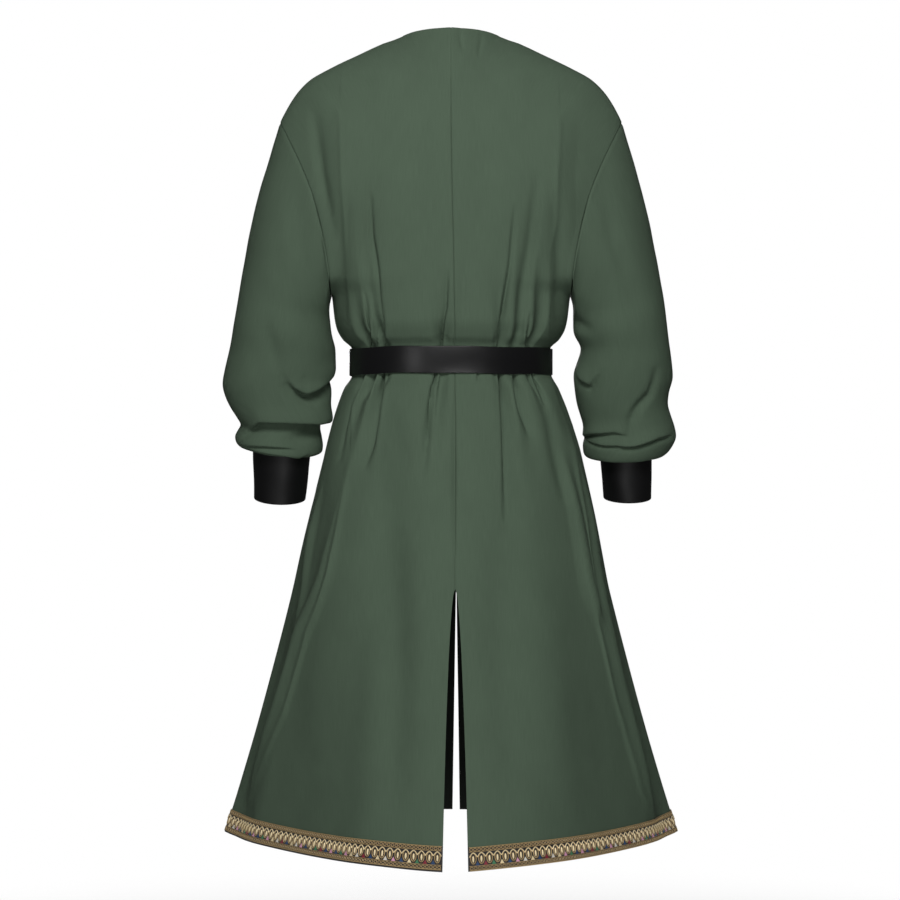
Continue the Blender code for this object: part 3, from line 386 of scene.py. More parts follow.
# A closed shell between two grids of points, with UVs in metres
def shellObject(name, outer, inner, closed, materials, uv=None):
    rows, count = outer.shape[:2]
    spans = count if closed else count - 1
    j, i = np.meshgrid(np.arange(rows - 1), np.arange(spans), indexing="ij")
    n = (i + 1) % count
    corners = [(j, i), (j, n), (j + 1, n), (j + 1, i)]
    layer = rows * count
    faces = np.stack([r * count + c for r, c in corners], axis=-1).reshape(-1, 4)
    across, down = np.arange(spans), np.arange(rows - 1) * count
    following, last = (across + 1) % count, layer - count
    rims = [(across, following, -1), (last + across, last + following, 1)]
    if not closed:
        rims += [(down, down + count, 1), (down + count - 1, down + 2 * count - 1, -1)]
    rims = np.concatenate([np.stack([a, b, b + layer, a + layer], axis=-1)[:, ::turn] for a, b, turn in rims])
    kinds = np.repeat([0, 1, 0], [len(faces), len(faces), len(rims)])
    faces = np.concatenate([faces, faces[:, ::-1] + layer, rims])
    mesh = bpy.data.meshes.new(name)
    vertices = np.concatenate([outer.reshape(-1, 3), inner.reshape(-1, 3)])
    mesh.vertices.add(len(vertices))
    mesh.vertices.foreach_set("co", vertices.astype(np.float32).ravel())
    mesh.loops.add(faces.size)
    mesh.loops.foreach_set("vertex_index", faces.astype(np.int32).ravel())
    mesh.polygons.add(len(faces))
    mesh.polygons.foreach_set("loop_start", (np.arange(len(faces)) * 4).astype(np.int32))
    mesh.polygons.foreach_set("material_index", np.minimum(kinds, len(materials) - 1).astype(np.int32))
    mesh.update(calc_edges=True)
    if uv is not None:
        u, v = uv
        uvs = np.zeros((len(faces), 4, 2), np.float32)
        bodyFaces = (rows - 1) * spans
        ui = np.stack([i, i + 1, i + 1, i], axis=-1).reshape(-1, 4)
        ji = np.stack([j, j, j + 1, j + 1], axis=-1).reshape(-1, 4)
        uvs[:bodyFaces] = np.stack([u[ji, ui], v[ji, ui]], axis=-1)
        uvs[bodyFaces : 2 * bodyFaces] = uvs[:bodyFaces, ::-1]
        layerUv = mesh.uv_layers.new(name="metres")
        layerUv.data.foreach_set("uv", uvs.ravel())
    mesh.validate()
    return finishedObject(mesh, materials, 55)


# Lengths along the rows and down the columns of a grid, in metres
def gridLengths(points, closed):
    wrapped = np.concatenate([points, points[:, :1]], axis=1) if closed else points
    across = np.linalg.norm(np.diff(wrapped, axis=1), axis=-1)
    u = np.concatenate([np.zeros((len(points), 1)), np.cumsum(across, axis=1)], axis=1)
    down = np.linalg.norm(np.diff(wrapped, axis=0), axis=-1)
    v = np.concatenate([np.zeros((1, wrapped.shape[1])), np.cumsum(down, axis=0)])
    return u, v


def linear(colour):
    values = [int(colour[i : i + 2], 16) / 255 for i in (1, 3, 5)]
    return tuple(v / 12.92 if v <= 0.04045 else ((v + 0.055) / 1.055) ** 2.4 for v in values) + (1.0,)


# Adds a node. An input is a value, or a (node, output) pair to link from.
def addNode(tree, kind, inputs=(), **settings):
    node = tree.nodes.new("ShaderNode" + kind)
    for key, value in settings.items():
        setattr(node, key, value)
    for key, value in dict(inputs).items():
        if isinstance(value, tuple) and isinstance(value[0], bpy.types.Node):
            tree.links.new(value[0].outputs[value[1]], node.inputs[key])
        else:
            node.inputs[key].default_value = value
    return node


def newMaterial(name, base, roughness, **sockets):
    material = bpy.data.materials.new(name)
    material.use_nodes = True
    shader = material.node_tree.nodes["Principled BSDF"]
    shader.inputs["Base Color"].default_value = base
    shader.inputs["Roughness"].default_value = roughness
    for key, value in sockets.items():
        shader.inputs[key.replace("_", " ")].default_value = value
    return material, material.node_tree, shader


# UV metres stretched by sizes of the pattern in metres
def uvPattern(tree, sizes):
    uv = addNode(tree, "UVMap", uv_map="metres")
    scale = (1 / sizes[0], 1 / sizes[1], 1)
    return addNode(tree, "Mapping", {"Vector": (uv, "UV"), "Scale": scale})


# A wave with one crest for each thread, along one axis of the UV map
def threadWave(tree, spacing, axis):
    parts = addNode(tree, "SeparateXYZ", {0: (uvPattern(tree, (spacing, spacing)), "Vector")})
    turn = addNode(tree, "Math", {0: (parts, axis), 1: 2 * math.pi}, operation="MULTIPLY")
    return addNode(tree, "Math", {0: (turn, "Value")}, operation="SINE")


# Wool and linen suiting: an even dull green with long vertical slubs and a fine weave, so it takes light
# softly and shows threads only close up. The threads are drawn coarser than real ones, so that they show.
clothLook = {
    "lit": "#506150",
    "shade": "#4b5b4b",
    # The reverse colours are near black: painted shade for the shadow inside the garment
    "reverse": "#1d221d",
    "slub": (0.0011, 0.030),
    "cloud": (0.05, 0.09),
    "thread": 0.00065,
}


def clothMaterial(name, light, dark):
    look = clothLook
    material, tree, shader = newMaterial(name, linear(light), 0.88, Sheen_Weight=0.03, Sheen_Roughness=0.45)
    shader.inputs["Sheen Tint"].default_value = linear("#9aa894")
    shader.inputs["Specular IOR Level"].default_value = 0.22
    slubs, clouds = uvPattern(tree, look["slub"]), uvPattern(tree, look["cloud"])
    slub = addNode(tree, "TexNoise", {"Vector": (slubs, "Vector"), "Scale": 1.0, "Detail": 3.0})
    cloud = addNode(tree, "TexNoise", {"Vector": (clouds, "Vector"), "Scale": 1.0, "Detail": 2.0})
    amount = addNode(tree, "MapRange", {"Value": (slub, "Fac"), "From Min": 0.3, "From Max": 0.72})
    limits = {"From Min": 0.3, "From Max": 0.7, "To Min": -0.25, "To Max": 0.25}
    soft = addNode(tree, "MapRange", {"Value": (cloud, "Fac"), **limits})
    both = addNode(tree, "Math", {0: (amount, "Result"), 1: (soft, "Result")}, operation="ADD", use_clamp=True)
    colour = addNode(tree, "Mix", {0: (both, "Value"), 6: linear(dark), 7: linear(light)}, data_type="RGBA")
    tree.links.new(colour.outputs[2], shader.inputs["Base Color"])
    waves = [threadWave(tree, look["thread"], axis) for axis in ("X", "Y")]
    weave = addNode(tree, "Math", {0: (waves[0], "Value"), 1: (waves[1], "Value")}, operation="MULTIPLY")
    fine = addNode(tree, "Bump", {"Height": (weave, "Value"), "Distance": 0.00012, "Strength": 0.5})
    above = {"Normal": (fine, "Normal"), "Distance": 0.0004, "Strength": 0.35}
    rough = addNode(tree, "Bump", {"Height": (slub, "Fac"), **above})
    tree.links.new(rough.outputs["Normal"], shader.inputs["Normal"])
    return material


clothFace = clothMaterial("green suiting", clothLook["lit"], clothLook["shade"])
# The cloth's reverse face is drawn near black, as painted shade for the shadow inside the garment where it shows
# through the vent
clothReversePaintedShade = clothMaterial("green suiting reverse", clothLook["reverse"], "#171b17")


# Black finished leather: smooth, half gloss, with a faint grain and wear that break up its reflections
def leatherMaterial(name, base, roughness, grain, depth):
    material, tree, shader = newMaterial(name, linear(base), roughness, Specular_IOR_Level=0.35)
    where = addNode(tree, "TexCoord")
    pores = addNode(tree, "TexVoronoi", {"Vector": (where, "Object"), "Scale": 1 / grain})
    wear = addNode(tree, "TexNoise", {"Vector": (where, "Object"), "Scale": 28.0, "Detail": 4.0})
    bump = addNode(tree, "Bump", {"Height": (pores, "Distance"), "Distance": depth, "Strength": 0.35})
    limits = {"To Min": roughness - 0.07, "To Max": roughness + 0.09}
    rough = addNode(tree, "MapRange", {"Value": (wear, "Fac"), **limits})
    tree.links.new(rough.outputs["Result"], shader.inputs["Roughness"])
    tree.links.new(bump.outputs["Normal"], shader.inputs["Normal"])
    return material


beltLeather = leatherMaterial("black belt leather", "#121213", 0.30, 0.0011, 0.00004)
cuffLeather = leatherMaterial("black cuff leather", "#0c0c0d", 0.48, 0.0009, 0.00004)


# Brushed buckle steel: dull grey with fine scratches along the bars
def steelMaterial():
    material, tree, shader = newMaterial("buckle steel", linear("#8f8d88"), 0.3, Metallic=1.0)
    where = addNode(tree, "TexCoord")
    lines = addNode(tree, "Mapping", {"Vector": (where, "Object"), "Scale": (60, 60, 2400)})
    scratch = addNode(tree, "TexNoise", {"Vector": (lines, "Vector"), "Scale": 1.0, "Detail": 2.0})
    rough = addNode(tree, "MapRange", {"Value": (scratch, "Fac"), "To Min": 0.2, "To Max": 0.42})
    bump = addNode(tree, "Bump", {"Height": (scratch, "Fac"), "Distance": 0.00003, "Strength": 0.4})
    tree.links.new(rough.outputs["Result"], shader.inputs["Roughness"])
    tree.links.new(bump.outputs["Normal"], shader.inputs["Normal"])
    return material


buckleSteel = steelMaterial()
print("made the materials")


# Rows of a body panel from the shoulder seam down, and its columns from the centre out, closest where
# creases and seams are
panelGrid = {
    "upperRows": {"back": 124, "front": 100},
    "lowerRows": {"back": 190, "front": 150},
    "columns": {"back": 154, "front": 96},
    "edgePlaces": (0.0, 0.003, 0.007, 0.012),
    "grooveCrowding": (1.6, 0.035),
    "beltCrowding": (1.1, 0.07),
    "seamRoom": 0.0028,
    "stillEdge": 0.012,
    "roll": 0.0011,
    "rollWidth": 0.0026,
    "ventRoll": 0.25,
    "underarmRoll": 1.6,
    "underarmReach": (0.03, 0.14),
    "underarmFrom": (0.10, 0.14),
    "uneven": ((0.0011, (9, 9, 5)), (0.0004, (34, 34, 16))),
}

# Creases as seen from behind or in front, in millimetres from the origin. Those at the belt start there.
backCreases = creaseRows("""
    pinch 3.5 2.6: 92.4 -453.8, 93.8 -443.2, 97.6 -411;
    pinch 3.5 2.6: 105 -453.8, 101.5 -433, 97.6 -411;
    soft 4.8 3.6: 95 -430, 97.6 -411, 101.8 -384.4, 105 -346.6, 111.5 -300, 113.5 -243.7;
    pinch 6.2 3.2: 113.7 -453.5, 115.8 -427.1, 117.9 -403.6, 123.2 -373.2;
    pinch 6 3.2: 12.9 -453.5, 11.3 -421.8, 7.6 -399.8, 5.6 -346.6;
    pinch 4.2 3: -64.4 -453.5, -69.9 -421.8, -74.6 -389.6, -79 -366.2, -83.2 -341;
    soft 4 3.6: -66.5 -440, -74.6 -389.6, -83.2 -341, -90.5 -260;
    soft 5.5 8: -92.8 -450.2, -95.1 -416.5, -101.4 -373.2, -110 -320, -121.9 -217.5;
    pinch 6.2 3.2: -105.7 -453.5, -110 -427.1, -113 -405;
    soft 4.5 10: -127 -449, -127 -384, -125 -330;
    soft 5 8: 196 -120, 192.6 -145.9, 184 -210.6, 173 -260, 167 -300;
    crest 5 7: 158 -120, 154 -180, 151 -250, 150 -340;
    crest 5.5 7: -154 -130, -151.3 -171, -147.6 -217.5, -149 -282, -141.6 -316;
    soft 2.2 6: -16 -420, -16.5 -380, -16 -335;
    soft 7 13: 156 -442, 160 -360, 152 -250;
    soft 7 12: -154 -442, -156 -350, -148 -250;
    pinch 5.5 4.6: 123.6 -491.5, 144.5 -535.6, 152.2 -573.6, 158 -620;
    pinch 6 3: 105.4 -491.5, 115.1 -512.3, 121.5 -530;
    pinch 7.5 3.8: 94.1 -491.5, 97.7 -519.9, 103.7 -543.9, 108.8 -568.5, 114 -595.1, 123.2 -627;
    pinch 6.5 4.2: 20 -491.5, 25.3 -512.3, 29 -541.6, 32 -579, 35.7 -605.5, 39.4 -640;
    pinch 7 3.4: -65.8 -491.5, -69.3 -530.8, -72.3 -568, -73.7 -605.6, -76.5 -700;
    pinch 6.8 4.2: -86.7 -491.5, -89.6 -514.6, -95.1 -539.4, -103.4 -563.2, -110.7 -584.5;
    pinch 6.2 3.4: -114.7 -492.5, -126.4 -518.5, -134.5 -540;
    pinch 3 2.5: -37.2 -491.5, -37.5 -503;
    soft 5 8: -135.3 -560, -147 -616.7, -157 -670;
    soft 4.5 8: -148.9 -500, -159 -541.2, -172 -590;
    soft 2.8 3.6: -4.4 -525, -4.4 -620, -4.4 -740;
    soft 12 28: 106 -570, 90 -668, 80.4 -793.4, 73.7 -924, 79 -1070;
    ridge 5 26: 35 -740, 38 -830, 43 -960, 52 -1090;
    ridge 6 28: 145 -740, 161 -838, 177 -924, 190 -1030;
    soft 8 28: -79.3 -660, -68.1 -794, -72.6 -903, -89.3 -1050;
    ridge 5 30: -122 -760, -138 -861, -142.9 -947, -155 -1080;
    soft 3.5 18: 90 -530, 65 -620, 56 -700;
    soft 1.8 3.4: -14.2 4, -13.5 -12, -16 -30;
    soft 1.8 3.4: -44 0, -43 -16, -39 -40;
    crest 11 8.5: 142 -620, 148 -660, 155 -714.2, 166 -774.9, 180 -815.4, 196.3 -853.9, 203.5 -881.7, 210.5 -906,
        222.5 -944.8, 231 -970.6, 241.5 -993.5, 263 -1044.3, 280 -1081;
    crest 3 7: 195 -700, 200.5 -731.2, 205.3 -782.9, 210.1 -811.6, 216.8 -873.6;
    crest 11.5 9: -142 -503, -164 -567, -177 -659, -184 -698.7, -188 -747.3, -191.5 -779.7, -196 -815.4,
        -202 -847.7, -208.5 -881.7, -216.5 -917.3, -224 -951.2, -235 -982.2, -244 -1013, -255 -1045.1, -265 -1080.5,
        -276 -1100.7
""")
frontCreases = creaseRows("""
    pinch 4.2 5: 56 -454.5, 64 -405, 80 -340;
    pinch 4.2 5.5: 98 -454, 106 -400, 118 -320;
    pinch 3 4.5: 18 -455, 15 -415, 8 -365;
    pinch 4 5: -42 -454.8, -40 -400, -47 -335;
    pinch 4.5 5.5: -83 -454.5, -93 -390, -112 -305;
    pinch 3.5 5: -118 -453, -124 -410, -133 -370;
    pinch 4.5 5: 50 -491.5, 62 -560, 80 -650;
    pinch 4 6: 104 -491, 125 -550, 148 -620;
    pinch 4.2 5: -38 -491.5, -42 -550, -48 -630;
    pinch 4.5 6: -86 -491.2, -101 -560, -115 -670;
    pinch 3.5 5: -122 -493, -138 -530;
    soft 3.5 12: 150 -190, 108 -215, 60 -235;
    soft 3.5 11: -148 -180, -105 -212, -56 -228;
    soft 5 36: 110 -680, 150 -880, 190 -1090;
    soft 5.5 38: -100 -700, -130 -900, -175 -1100;
    ridge 4 32: 50 -720, 62 -900, 70 -1090;
    ridge 4 32: -45 -760, -56 -930, -62 -1100
""")


panelCreases = {"back": backCreases, "front": frontCreases}


# Even steps from start to end that lie closer at the places
def closerAt(count, start, end, places, strength, width):
    at = np.linspace(start, end, 2001)
    weight = 1 + sum(strength * np.exp(-(((at - p) / width) ** 2)) for p in places)
    total = np.concatenate([[0], np.cumsum((weight[1:] + weight[:-1]) / 2)])
    return np.interp(np.linspace(0, total[-1], count), total, at)


# Columns lie closer where grooves start at the belt
def panelPlaces(face, side):
    edge = np.array(panelGrid["edgePlaces"])
    count = panelGrid["columns"][face]
    rows = panelCreases[face]
    starts = [line[0][0] * side for line, _, _, kind in rows if kind == "pinch" and line[0][0] * side > 0.004]
    starts = [math.asin(min(x / 0.1445, 1)) * 2 / math.pi for x in starts]
    middle = closerAt(
        count - 2 * len(edge), edge[-1] + 0.006, 1 - edge[-1] - 0.006, starts, *panelGrid["grooveCrowding"]
    )
    return np.concatenate([edge, middle, 1 - edge[::-1]])


def panelPlan(face, side, places, downs, heights):
    neckShare = body["neckShare"][face]
    inner = curvePoints(body["neck"][face], np.clip(downs / neckShare, 0, 1))
    below = downs > neckShare
    fall = (downs - neckShare) / (1 - neckShare)
    inner[:, 0] = np.where(below, 0, inner[:, 0])
    inner[:, 1] = np.where(below, mix(body["neck"][face][-1][1], body["underarm"], fall), inner[:, 1])
    inner[:, 0] += centreLine(inner[:, 1], face, side) * (1 - np.minimum(inner[:, 0] / body["neckBlend"], 1))
    outer = curvePoints(body["armhole"], downs)
    shoulder = np.linspace(0, body["armhole"][0][1], 121)
    shoulder = np.stack([halfWidth(shoulder), shoulder], axis=1)
    lengths = lengthsOf(shoulder)
    onCurve = np.stack([np.interp(places * lengths[-1], lengths, column) for column in shoulder.T], axis=1)
    bow = onCurve - (shoulder[0] + (shoulder[-1] - shoulder[0]) * places[:, None])
    down = downs[:, None]
    share = mix(places, np.sin(places * np.pi / 2), ramp(0, 1, down))
    upper = inner[:, None] + (outer - inner)[:, None] * share[..., None] + bow[None] * ((1 - down) ** 2)[..., None]
    centre = centreLine(heights, face, side)[:, None]
    x = mix(centre, halfWidth(heights)[:, None], np.sin(places * np.pi / 2)[None])
    lower = np.stack([x, np.broadcast_to(heights[:, None], x.shape)], axis=-1)
    return np.concatenate([upper, lower])


def panelSurface(face, side, places, downs, heights):
    plan = panelPlan(face, side, places, downs, heights)
    sign = facing[face]
    x, z = plan[..., 0], plan[..., 1]
    points = np.stack([side * x, sign * bodyDepth(x, z, face), z], axis=-1)
    last = len(downs) - 1
    points[0, :, 1] = 0
    points[last, -1, 1] = 0
    normals = gridNormals(points, False, -side * sign)
    points += normals * gatherPush(face, side, places[None, :], z)[..., None]
    points[0, :, 1] = 0
    points[last, -1, 1] = 0
    return points


# Softens a grid's bends along its rows or columns
def soften(values, axis, times):
    for _ in range(times):
        a = np.moveaxis(values, axis, 0)
        middle = (a[:-2] + 2 * a[1:-1] + a[2:]) / 4
        a = np.concatenate([a[:1], middle, a[-1:]])
        values = np.moveaxis(a, 0, axis)
    return values


def panelNormals(points, face, side):
    sign = facing[face]
    normals = gridNormals(points, False, -side * sign)
    step = np.gradient(points[0], axis=0)
    top = np.stack([-step[:, 2] * side, np.zeros(len(step)), step[:, 0] * side], axis=-1)
    normals[0] = top / np.linalg.norm(top, axis=-1, keepdims=True)
    return normals


# Sinks the cloth beside its sewn edges, so that a seam shows as a fine furrow
def rolledEdges(u, v, sides):
    width, depth = panelGrid["rollWidth"], panelGrid["roll"]
    sunk = np.zeros(u.shape)
    ends = {"start": u, "end": u[:, -1:] - u, "top": v, "bottom": v[-1:] - v}
    for side in sides:
        off = np.clip(1 - ends[side] / width, 0, 1)
        sunk = np.maximum(sunk, depth * off**2)
    return sunk


# Seams sink deeper towards the underarm, where the sleeve folds over them
def underarmRoll(points):
    off = np.abs(points[..., 2] - body["underarm"])
    near, far = panelGrid["underarmReach"]
    share = ramp(0, far - near, far - off) * ramp(*panelGrid["underarmFrom"], np.abs(points[..., 0]))
    return 1 + panelGrid["underarmRoll"] * share


panelEdges = {}


def makePanel(face, side):
    name = sideName(face, side)
    places = panelPlaces(face, side)
    upper = np.linspace(0, 1, panelGrid["upperRows"][face])
    downs = mix(upper, upper**2, 0.6)
    start, crowded = body["underarm"] - panelGrid["seamRoom"], (body["belt"],)
    heights = closerAt(panelGrid["lowerRows"][face], start, body["hem"], crowded, *panelGrid["beltCrowding"])
    points = panelSurface(face, side, places, downs, heights)
    normals = panelNormals(points, face, side)
    u, v = gridLengths(points, False)
    lower = np.arange(len(points)) >= len(downs)
    fromOuter = u[:, -1:] - u
    fromTop = np.where(lower[:, None], 1.0, v)
    keep = ramp(0, panelGrid["stillEdge"], fromOuter) * ramp(0, panelGrid["stillEdge"], fromTop)
    push, sag = creasePush(points[..., 0], points[..., 2], panelCreases[face])
    uneven = unevenCloth(points, panelGrid["uneven"], (3.1 if face == "back" else 7.7, 1.7))
    points = points + normals * ((push + uneven) * keep)[..., None]
    points[..., 2] -= sag * keep
    panelEdges[(face, side)] = points[: len(downs), -1], downs
    sunk = rolledEdges(u, v, ("start", "end")) * underarmRoll(points)
    sunk = np.where(points[..., 2] < body["ventTop"], sunk * panelGrid["ventRoll"], sunk)
    sunk = np.maximum(sunk, rolledEdges(u, v, ("top",)))
    normals = panelNormals(points, face, side)
    outer = points - normals * sunk[..., None]
    inner = points - normals * (body["clothThickness"] + sunk)[..., None]
    sign = facing[face]
    for grid in (outer, inner):
        grid[..., 1] = sign * np.maximum(sign * grid[..., 1], body["seamGap"])
    shiftU = side * points[:, :1, 0]
    shiftV = -points[:1, :, 2]
    obj = shellObject(name, outer, inner, False, [clothFace, clothReversePaintedShade], (u + shiftU, v + shiftV))
    declare(obj, sideNode(face, side))
    declareSheet(obj, u, v)
    return outer, normals


panels = {(face, side): makePanel(face, side) for face in ("back", "front") for side in (1, -1)}


# The sleeves: rings below the armhole, then bunched cloth down to the cuff
sleeveColumns = "outerX outerZ innerX innerZ y halfDepth lean"
sleeves = {
    1: [
        (0.3100, -0.3750, 0.1765, -0.4080, -0.017, 0.0610, 3), (0.3165, -0.4150, 0.1738, -0.4320, -0.020, 0.0620, 4),
        (0.3225, -0.4480, 0.1682, -0.4550, -0.028, 0.0630, 5), (0.3305, -0.4800, 0.1697, -0.4790, -0.034, 0.0630, 7),
        (0.3350, -0.5030, 0.1770, -0.4940, -0.038, 0.0620, 8), (0.3305, -0.5220, 0.1745, -0.5120, -0.041, 0.0610, 9),
        (0.3215, -0.5400, 0.1770, -0.5340, -0.043, 0.0570, 9), (0.3135, -0.5530, 0.1775, -0.5500, -0.045, 0.0530, 10),
        (0.3090, -0.5620, 0.1870, -0.5610, -0.047, 0.0480, 10), (0.3130, -0.5700, 0.1912, -0.5710, -0.048, 0.0500, 11),
        (0.3175, -0.5790, 0.1900, -0.5820, -0.050, 0.0525, 11), (0.3160, -0.5870, 0.1885, -0.5930, -0.051, 0.0520, 12),
        (0.3090, -0.5935, 0.1895, -0.6020, -0.052, 0.0490, 12), (0.3000, -0.5950, 0.1970, -0.6050, -0.053, 0.0450, 15),
        (0.2913, -0.5951, 0.2072, -0.6011, -0.054, 0.0388, 14),
    ],
    -1: [
        (0.3085, -0.3750, 0.1772, -0.4080, -0.017, 0.0610, 3), (0.3140, -0.4130, 0.1790, -0.4300, -0.020, 0.0620, 4),
        (0.3185, -0.4430, 0.1905, -0.4510, -0.027, 0.0620, 5), (0.3230, -0.4720, 0.1850, -0.4710, -0.032, 0.0630, 7),
        (0.3250, -0.4930, 0.1790, -0.4900, -0.036, 0.0620, 8), (0.3198, -0.5130, 0.1812, -0.5120, -0.040, 0.0600, 9),
        (0.3180, -0.5310, 0.1845, -0.5310, -0.043, 0.0580, 9), (0.3225, -0.5480, 0.1895, -0.5480, -0.045, 0.0560, 10),
        (0.3285, -0.5650, 0.1940, -0.5650, -0.047, 0.0560, 10), (0.3313, -0.5790, 0.1950, -0.5790, -0.049, 0.0560, 11),
        (0.3270, -0.5910, 0.1938, -0.5920, -0.050, 0.0540, 11), (0.3190, -0.6020, 0.1950, -0.6040, -0.052, 0.0510, 12),
        (0.3110, -0.6070, 0.2005, -0.6100, -0.053, 0.0470, 12), (0.3040, -0.6050, 0.2100, -0.6078, -0.054, 0.0430, 13),
        (0.2953, -0.6031, 0.2202, -0.6041, -0.055, 0.0363, 13),
    ],
}
sleeveGrid = {
    "around": 134,
    "loftRows": 58,
    "ringRows": 164,
    "bulge": 0.006,
    "radius": 0.068,
    "softening": 14,
    "uneven": ((0.0012, (14, 14, 9)), (0.0005, (40, 40, 26))),
}

# Creases of the sleeves. A place is the degrees round from the outer side over the back.
sleeveCreases = {
    1: creaseRows("""
        lap 10 10: 34 -578, 45 -570, 66 -557, 100 -557, 141 -558.2, 178 -554.5, 215 -560;
        lap 4.2 5: 28 -592.5, 45 -593, 76 -594, 112 -598.5;
        lap 3.4 4.2: 30 -596, 49 -600, 86 -606.6, 120 -613, 135 -605.8;
        lap 10 12: 104 -498, 112 -510, 124 -518, 140 -510, 168 -492, 190 -485;
        soft 6 11: 110 -522, 135 -527, 172 -508;
        soft 6.5 10: 170 -570, 140 -576, 108 -584;
        soft 3.5 11: 72 -420, 84 -460, 98 -505;
        lap 6.5 7.5: 300 -520, 250 -545, 200 -550;
        lap 5.5 6: 320 -565, 270 -580, 215 -578;
        soft 4.5 10: 200 -410, 235 -445, 280 -465;
        soft 3.5 14: 60 -230, 90 -300, 120 -360;
        soft 4 12: 140 -330, 128 -260, 118 -190
    """, 1),
    -1: creaseRows("""
        lap 6.2 6.5: 190 -580, 170 -577.2, 145 -574.5, 112 -573.8, 98 -579;
        lap 4.5 4.8: 165 -585, 149 -588.5, 127 -593, 100 -593.2, 80 -590.5;
        lap 7 6.5: 106 -599, 80 -590.5, 56 -581, 30 -577.5;
        soft 6.5 6.5: 96 -585, 86 -557.5, 72 -536.6, 58 -520, 52 -485;
        soft 5.5 10: 178 -409, 152 -418, 131 -428;
        lap 5.5 9: 175 -478, 152 -496, 134 -505, 124 -488;
        lap 6.5 7.5: 310 -535, 260 -560, 210 -555;
        lap 5.5 6: 330 -575, 275 -592, 220 -585;
        soft 4.5 10: 205 -420, 240 -455, 290 -470;
        soft 3.5 14: 60 -230, 78 -300, 70 -390;
        soft 4 12: 145 -320, 130 -250, 120 -180
    """, 1),
}


def ovalRings(rows, side, turns, at):
    columns = table(sleeveColumns, rows)
    index = np.arange(len(rows), dtype=float)
    read = {key: smoothCurve(index, values, at)[:, None] for key, values in columns.items()}
    lean = np.radians(read["lean"])
    outer = np.stack([side * read["outerX"], read["y"], read["outerZ"]], axis=-1)
    centre = (outer + np.stack([side * read["innerX"], read["y"], read["innerZ"]], axis=-1)) / 2
    back = np.stack([0 * lean, np.cos(lean), -np.sin(lean)], axis=-1) * read["halfDepth"][..., None]
    return centre + (outer - centre) * np.cos(turns)[None, :, None] + back * np.sin(turns)[None, :, None]


def makeSleeve(side):
    count = sleeveGrid["around"]
    share = np.arange(count) / count
    turns = 2 * np.pi * share
    backEdge, downs = panelEdges[("back", side)]
    frontEdge, frontDowns = panelEdges[("front", side)]
    onBack = share <= 0.5
    down = np.where(onBack, share * 2, (1 - share) * 2)
    back = [np.interp(down, downs, backEdge[:, k]) for k in range(3)]
    front = [np.interp(down, frontDowns, frontEdge[:, k]) for k in range(3)]
    armhole = np.where(onBack, back, front).T
    rows = sleeves[side]
    at = np.linspace(0, len(rows) - 1, sleeveGrid["ringRows"])
    rings = ovalRings(rows, side, turns, at)
    loft = np.linspace(0, 1, sleeveGrid["loftRows"], endpoint=False)[:, None, None]
    bulge = sleeveGrid["bulge"] * np.sin(np.pi * loft) * (0.7 + 0.3 * np.cos(turns))[None, :, None]
    outwards = np.stack([np.full(count, float(side)), armhole[:, 1] / 0.07, np.zeros(count)], axis=-1)
    points = np.concatenate([mix(armhole[None], rings[:1], loft) + outwards[None] * bulge, rings])
    points = soften(points, 0, sleeveGrid["softening"])
    normals = gridNormals(points, True, side)
    u, v = gridLengths(points, True)
    degrees = np.degrees(turns)[None] + np.zeros(points.shape[:2])
    radius = sleeveGrid["radius"]
    push, sag = np.zeros(degrees.shape), np.zeros(degrees.shape)
    creases = [([(math.radians(t) * radius, z) for t, z in line], *rest) for line, *rest in sleeveCreases[side]]
    for wrap in (0, -360):
        more, moreSag = creasePush(np.radians(degrees + wrap) * radius, points[..., 2], creases)
        push, sag = push + more, sag + moreSag
    keep = ramp(0, panelGrid["stillEdge"], v[:, :-1]) * ramp(0, 0.006, v[-1:, :-1] - v[:, :-1])
    uneven = unevenCloth(points, sleeveGrid["uneven"], (5.3 + side, 2.9 + side))
    points = points + normals * ((push + uneven) * keep)[..., None]
    points[..., 2] -= sag * keep
    normals = gridNormals(points, True, side)
    sunk = rolledEdges(v[:, :-1], v[:, :-1], ("top",)) * underarmRoll(points)
    outer = points - normals * sunk[..., None]
    inner = points - normals * (body["clothThickness"] + sunk)[..., None]
    obj = shellObject(sideName("sleeve", side), outer, inner, True, [clothFace, clothReversePaintedShade], (u, v))
    declare(obj, sideNode("sleeve", side))
    declareSheet(obj, u, v)


for side in (1, -1):
    makeSleeve(side)


# The cuffs: leather tubes that narrow a little downwards, with rounded edges and soft dents
cuffRings = {
    1: [
        (0.2925, -0.5960, 0.2060, -0.6020, -0.054, 0.0400, 14), (0.2922, -0.6705, 0.2150, -0.6735, -0.071, 0.0370, 14),
    ],
    -1: [
        (0.2965, -0.6040, 0.2190, -0.6050, -0.055, 0.0375, 13), (0.2970, -0.6710, 0.2253, -0.6710, -0.071, 0.0350, 13),
    ],
}
cuffLook = {"around": 120, "down": 46, "thickness": 0.0024, "edge": 0.0011, "dent": 0.0011}


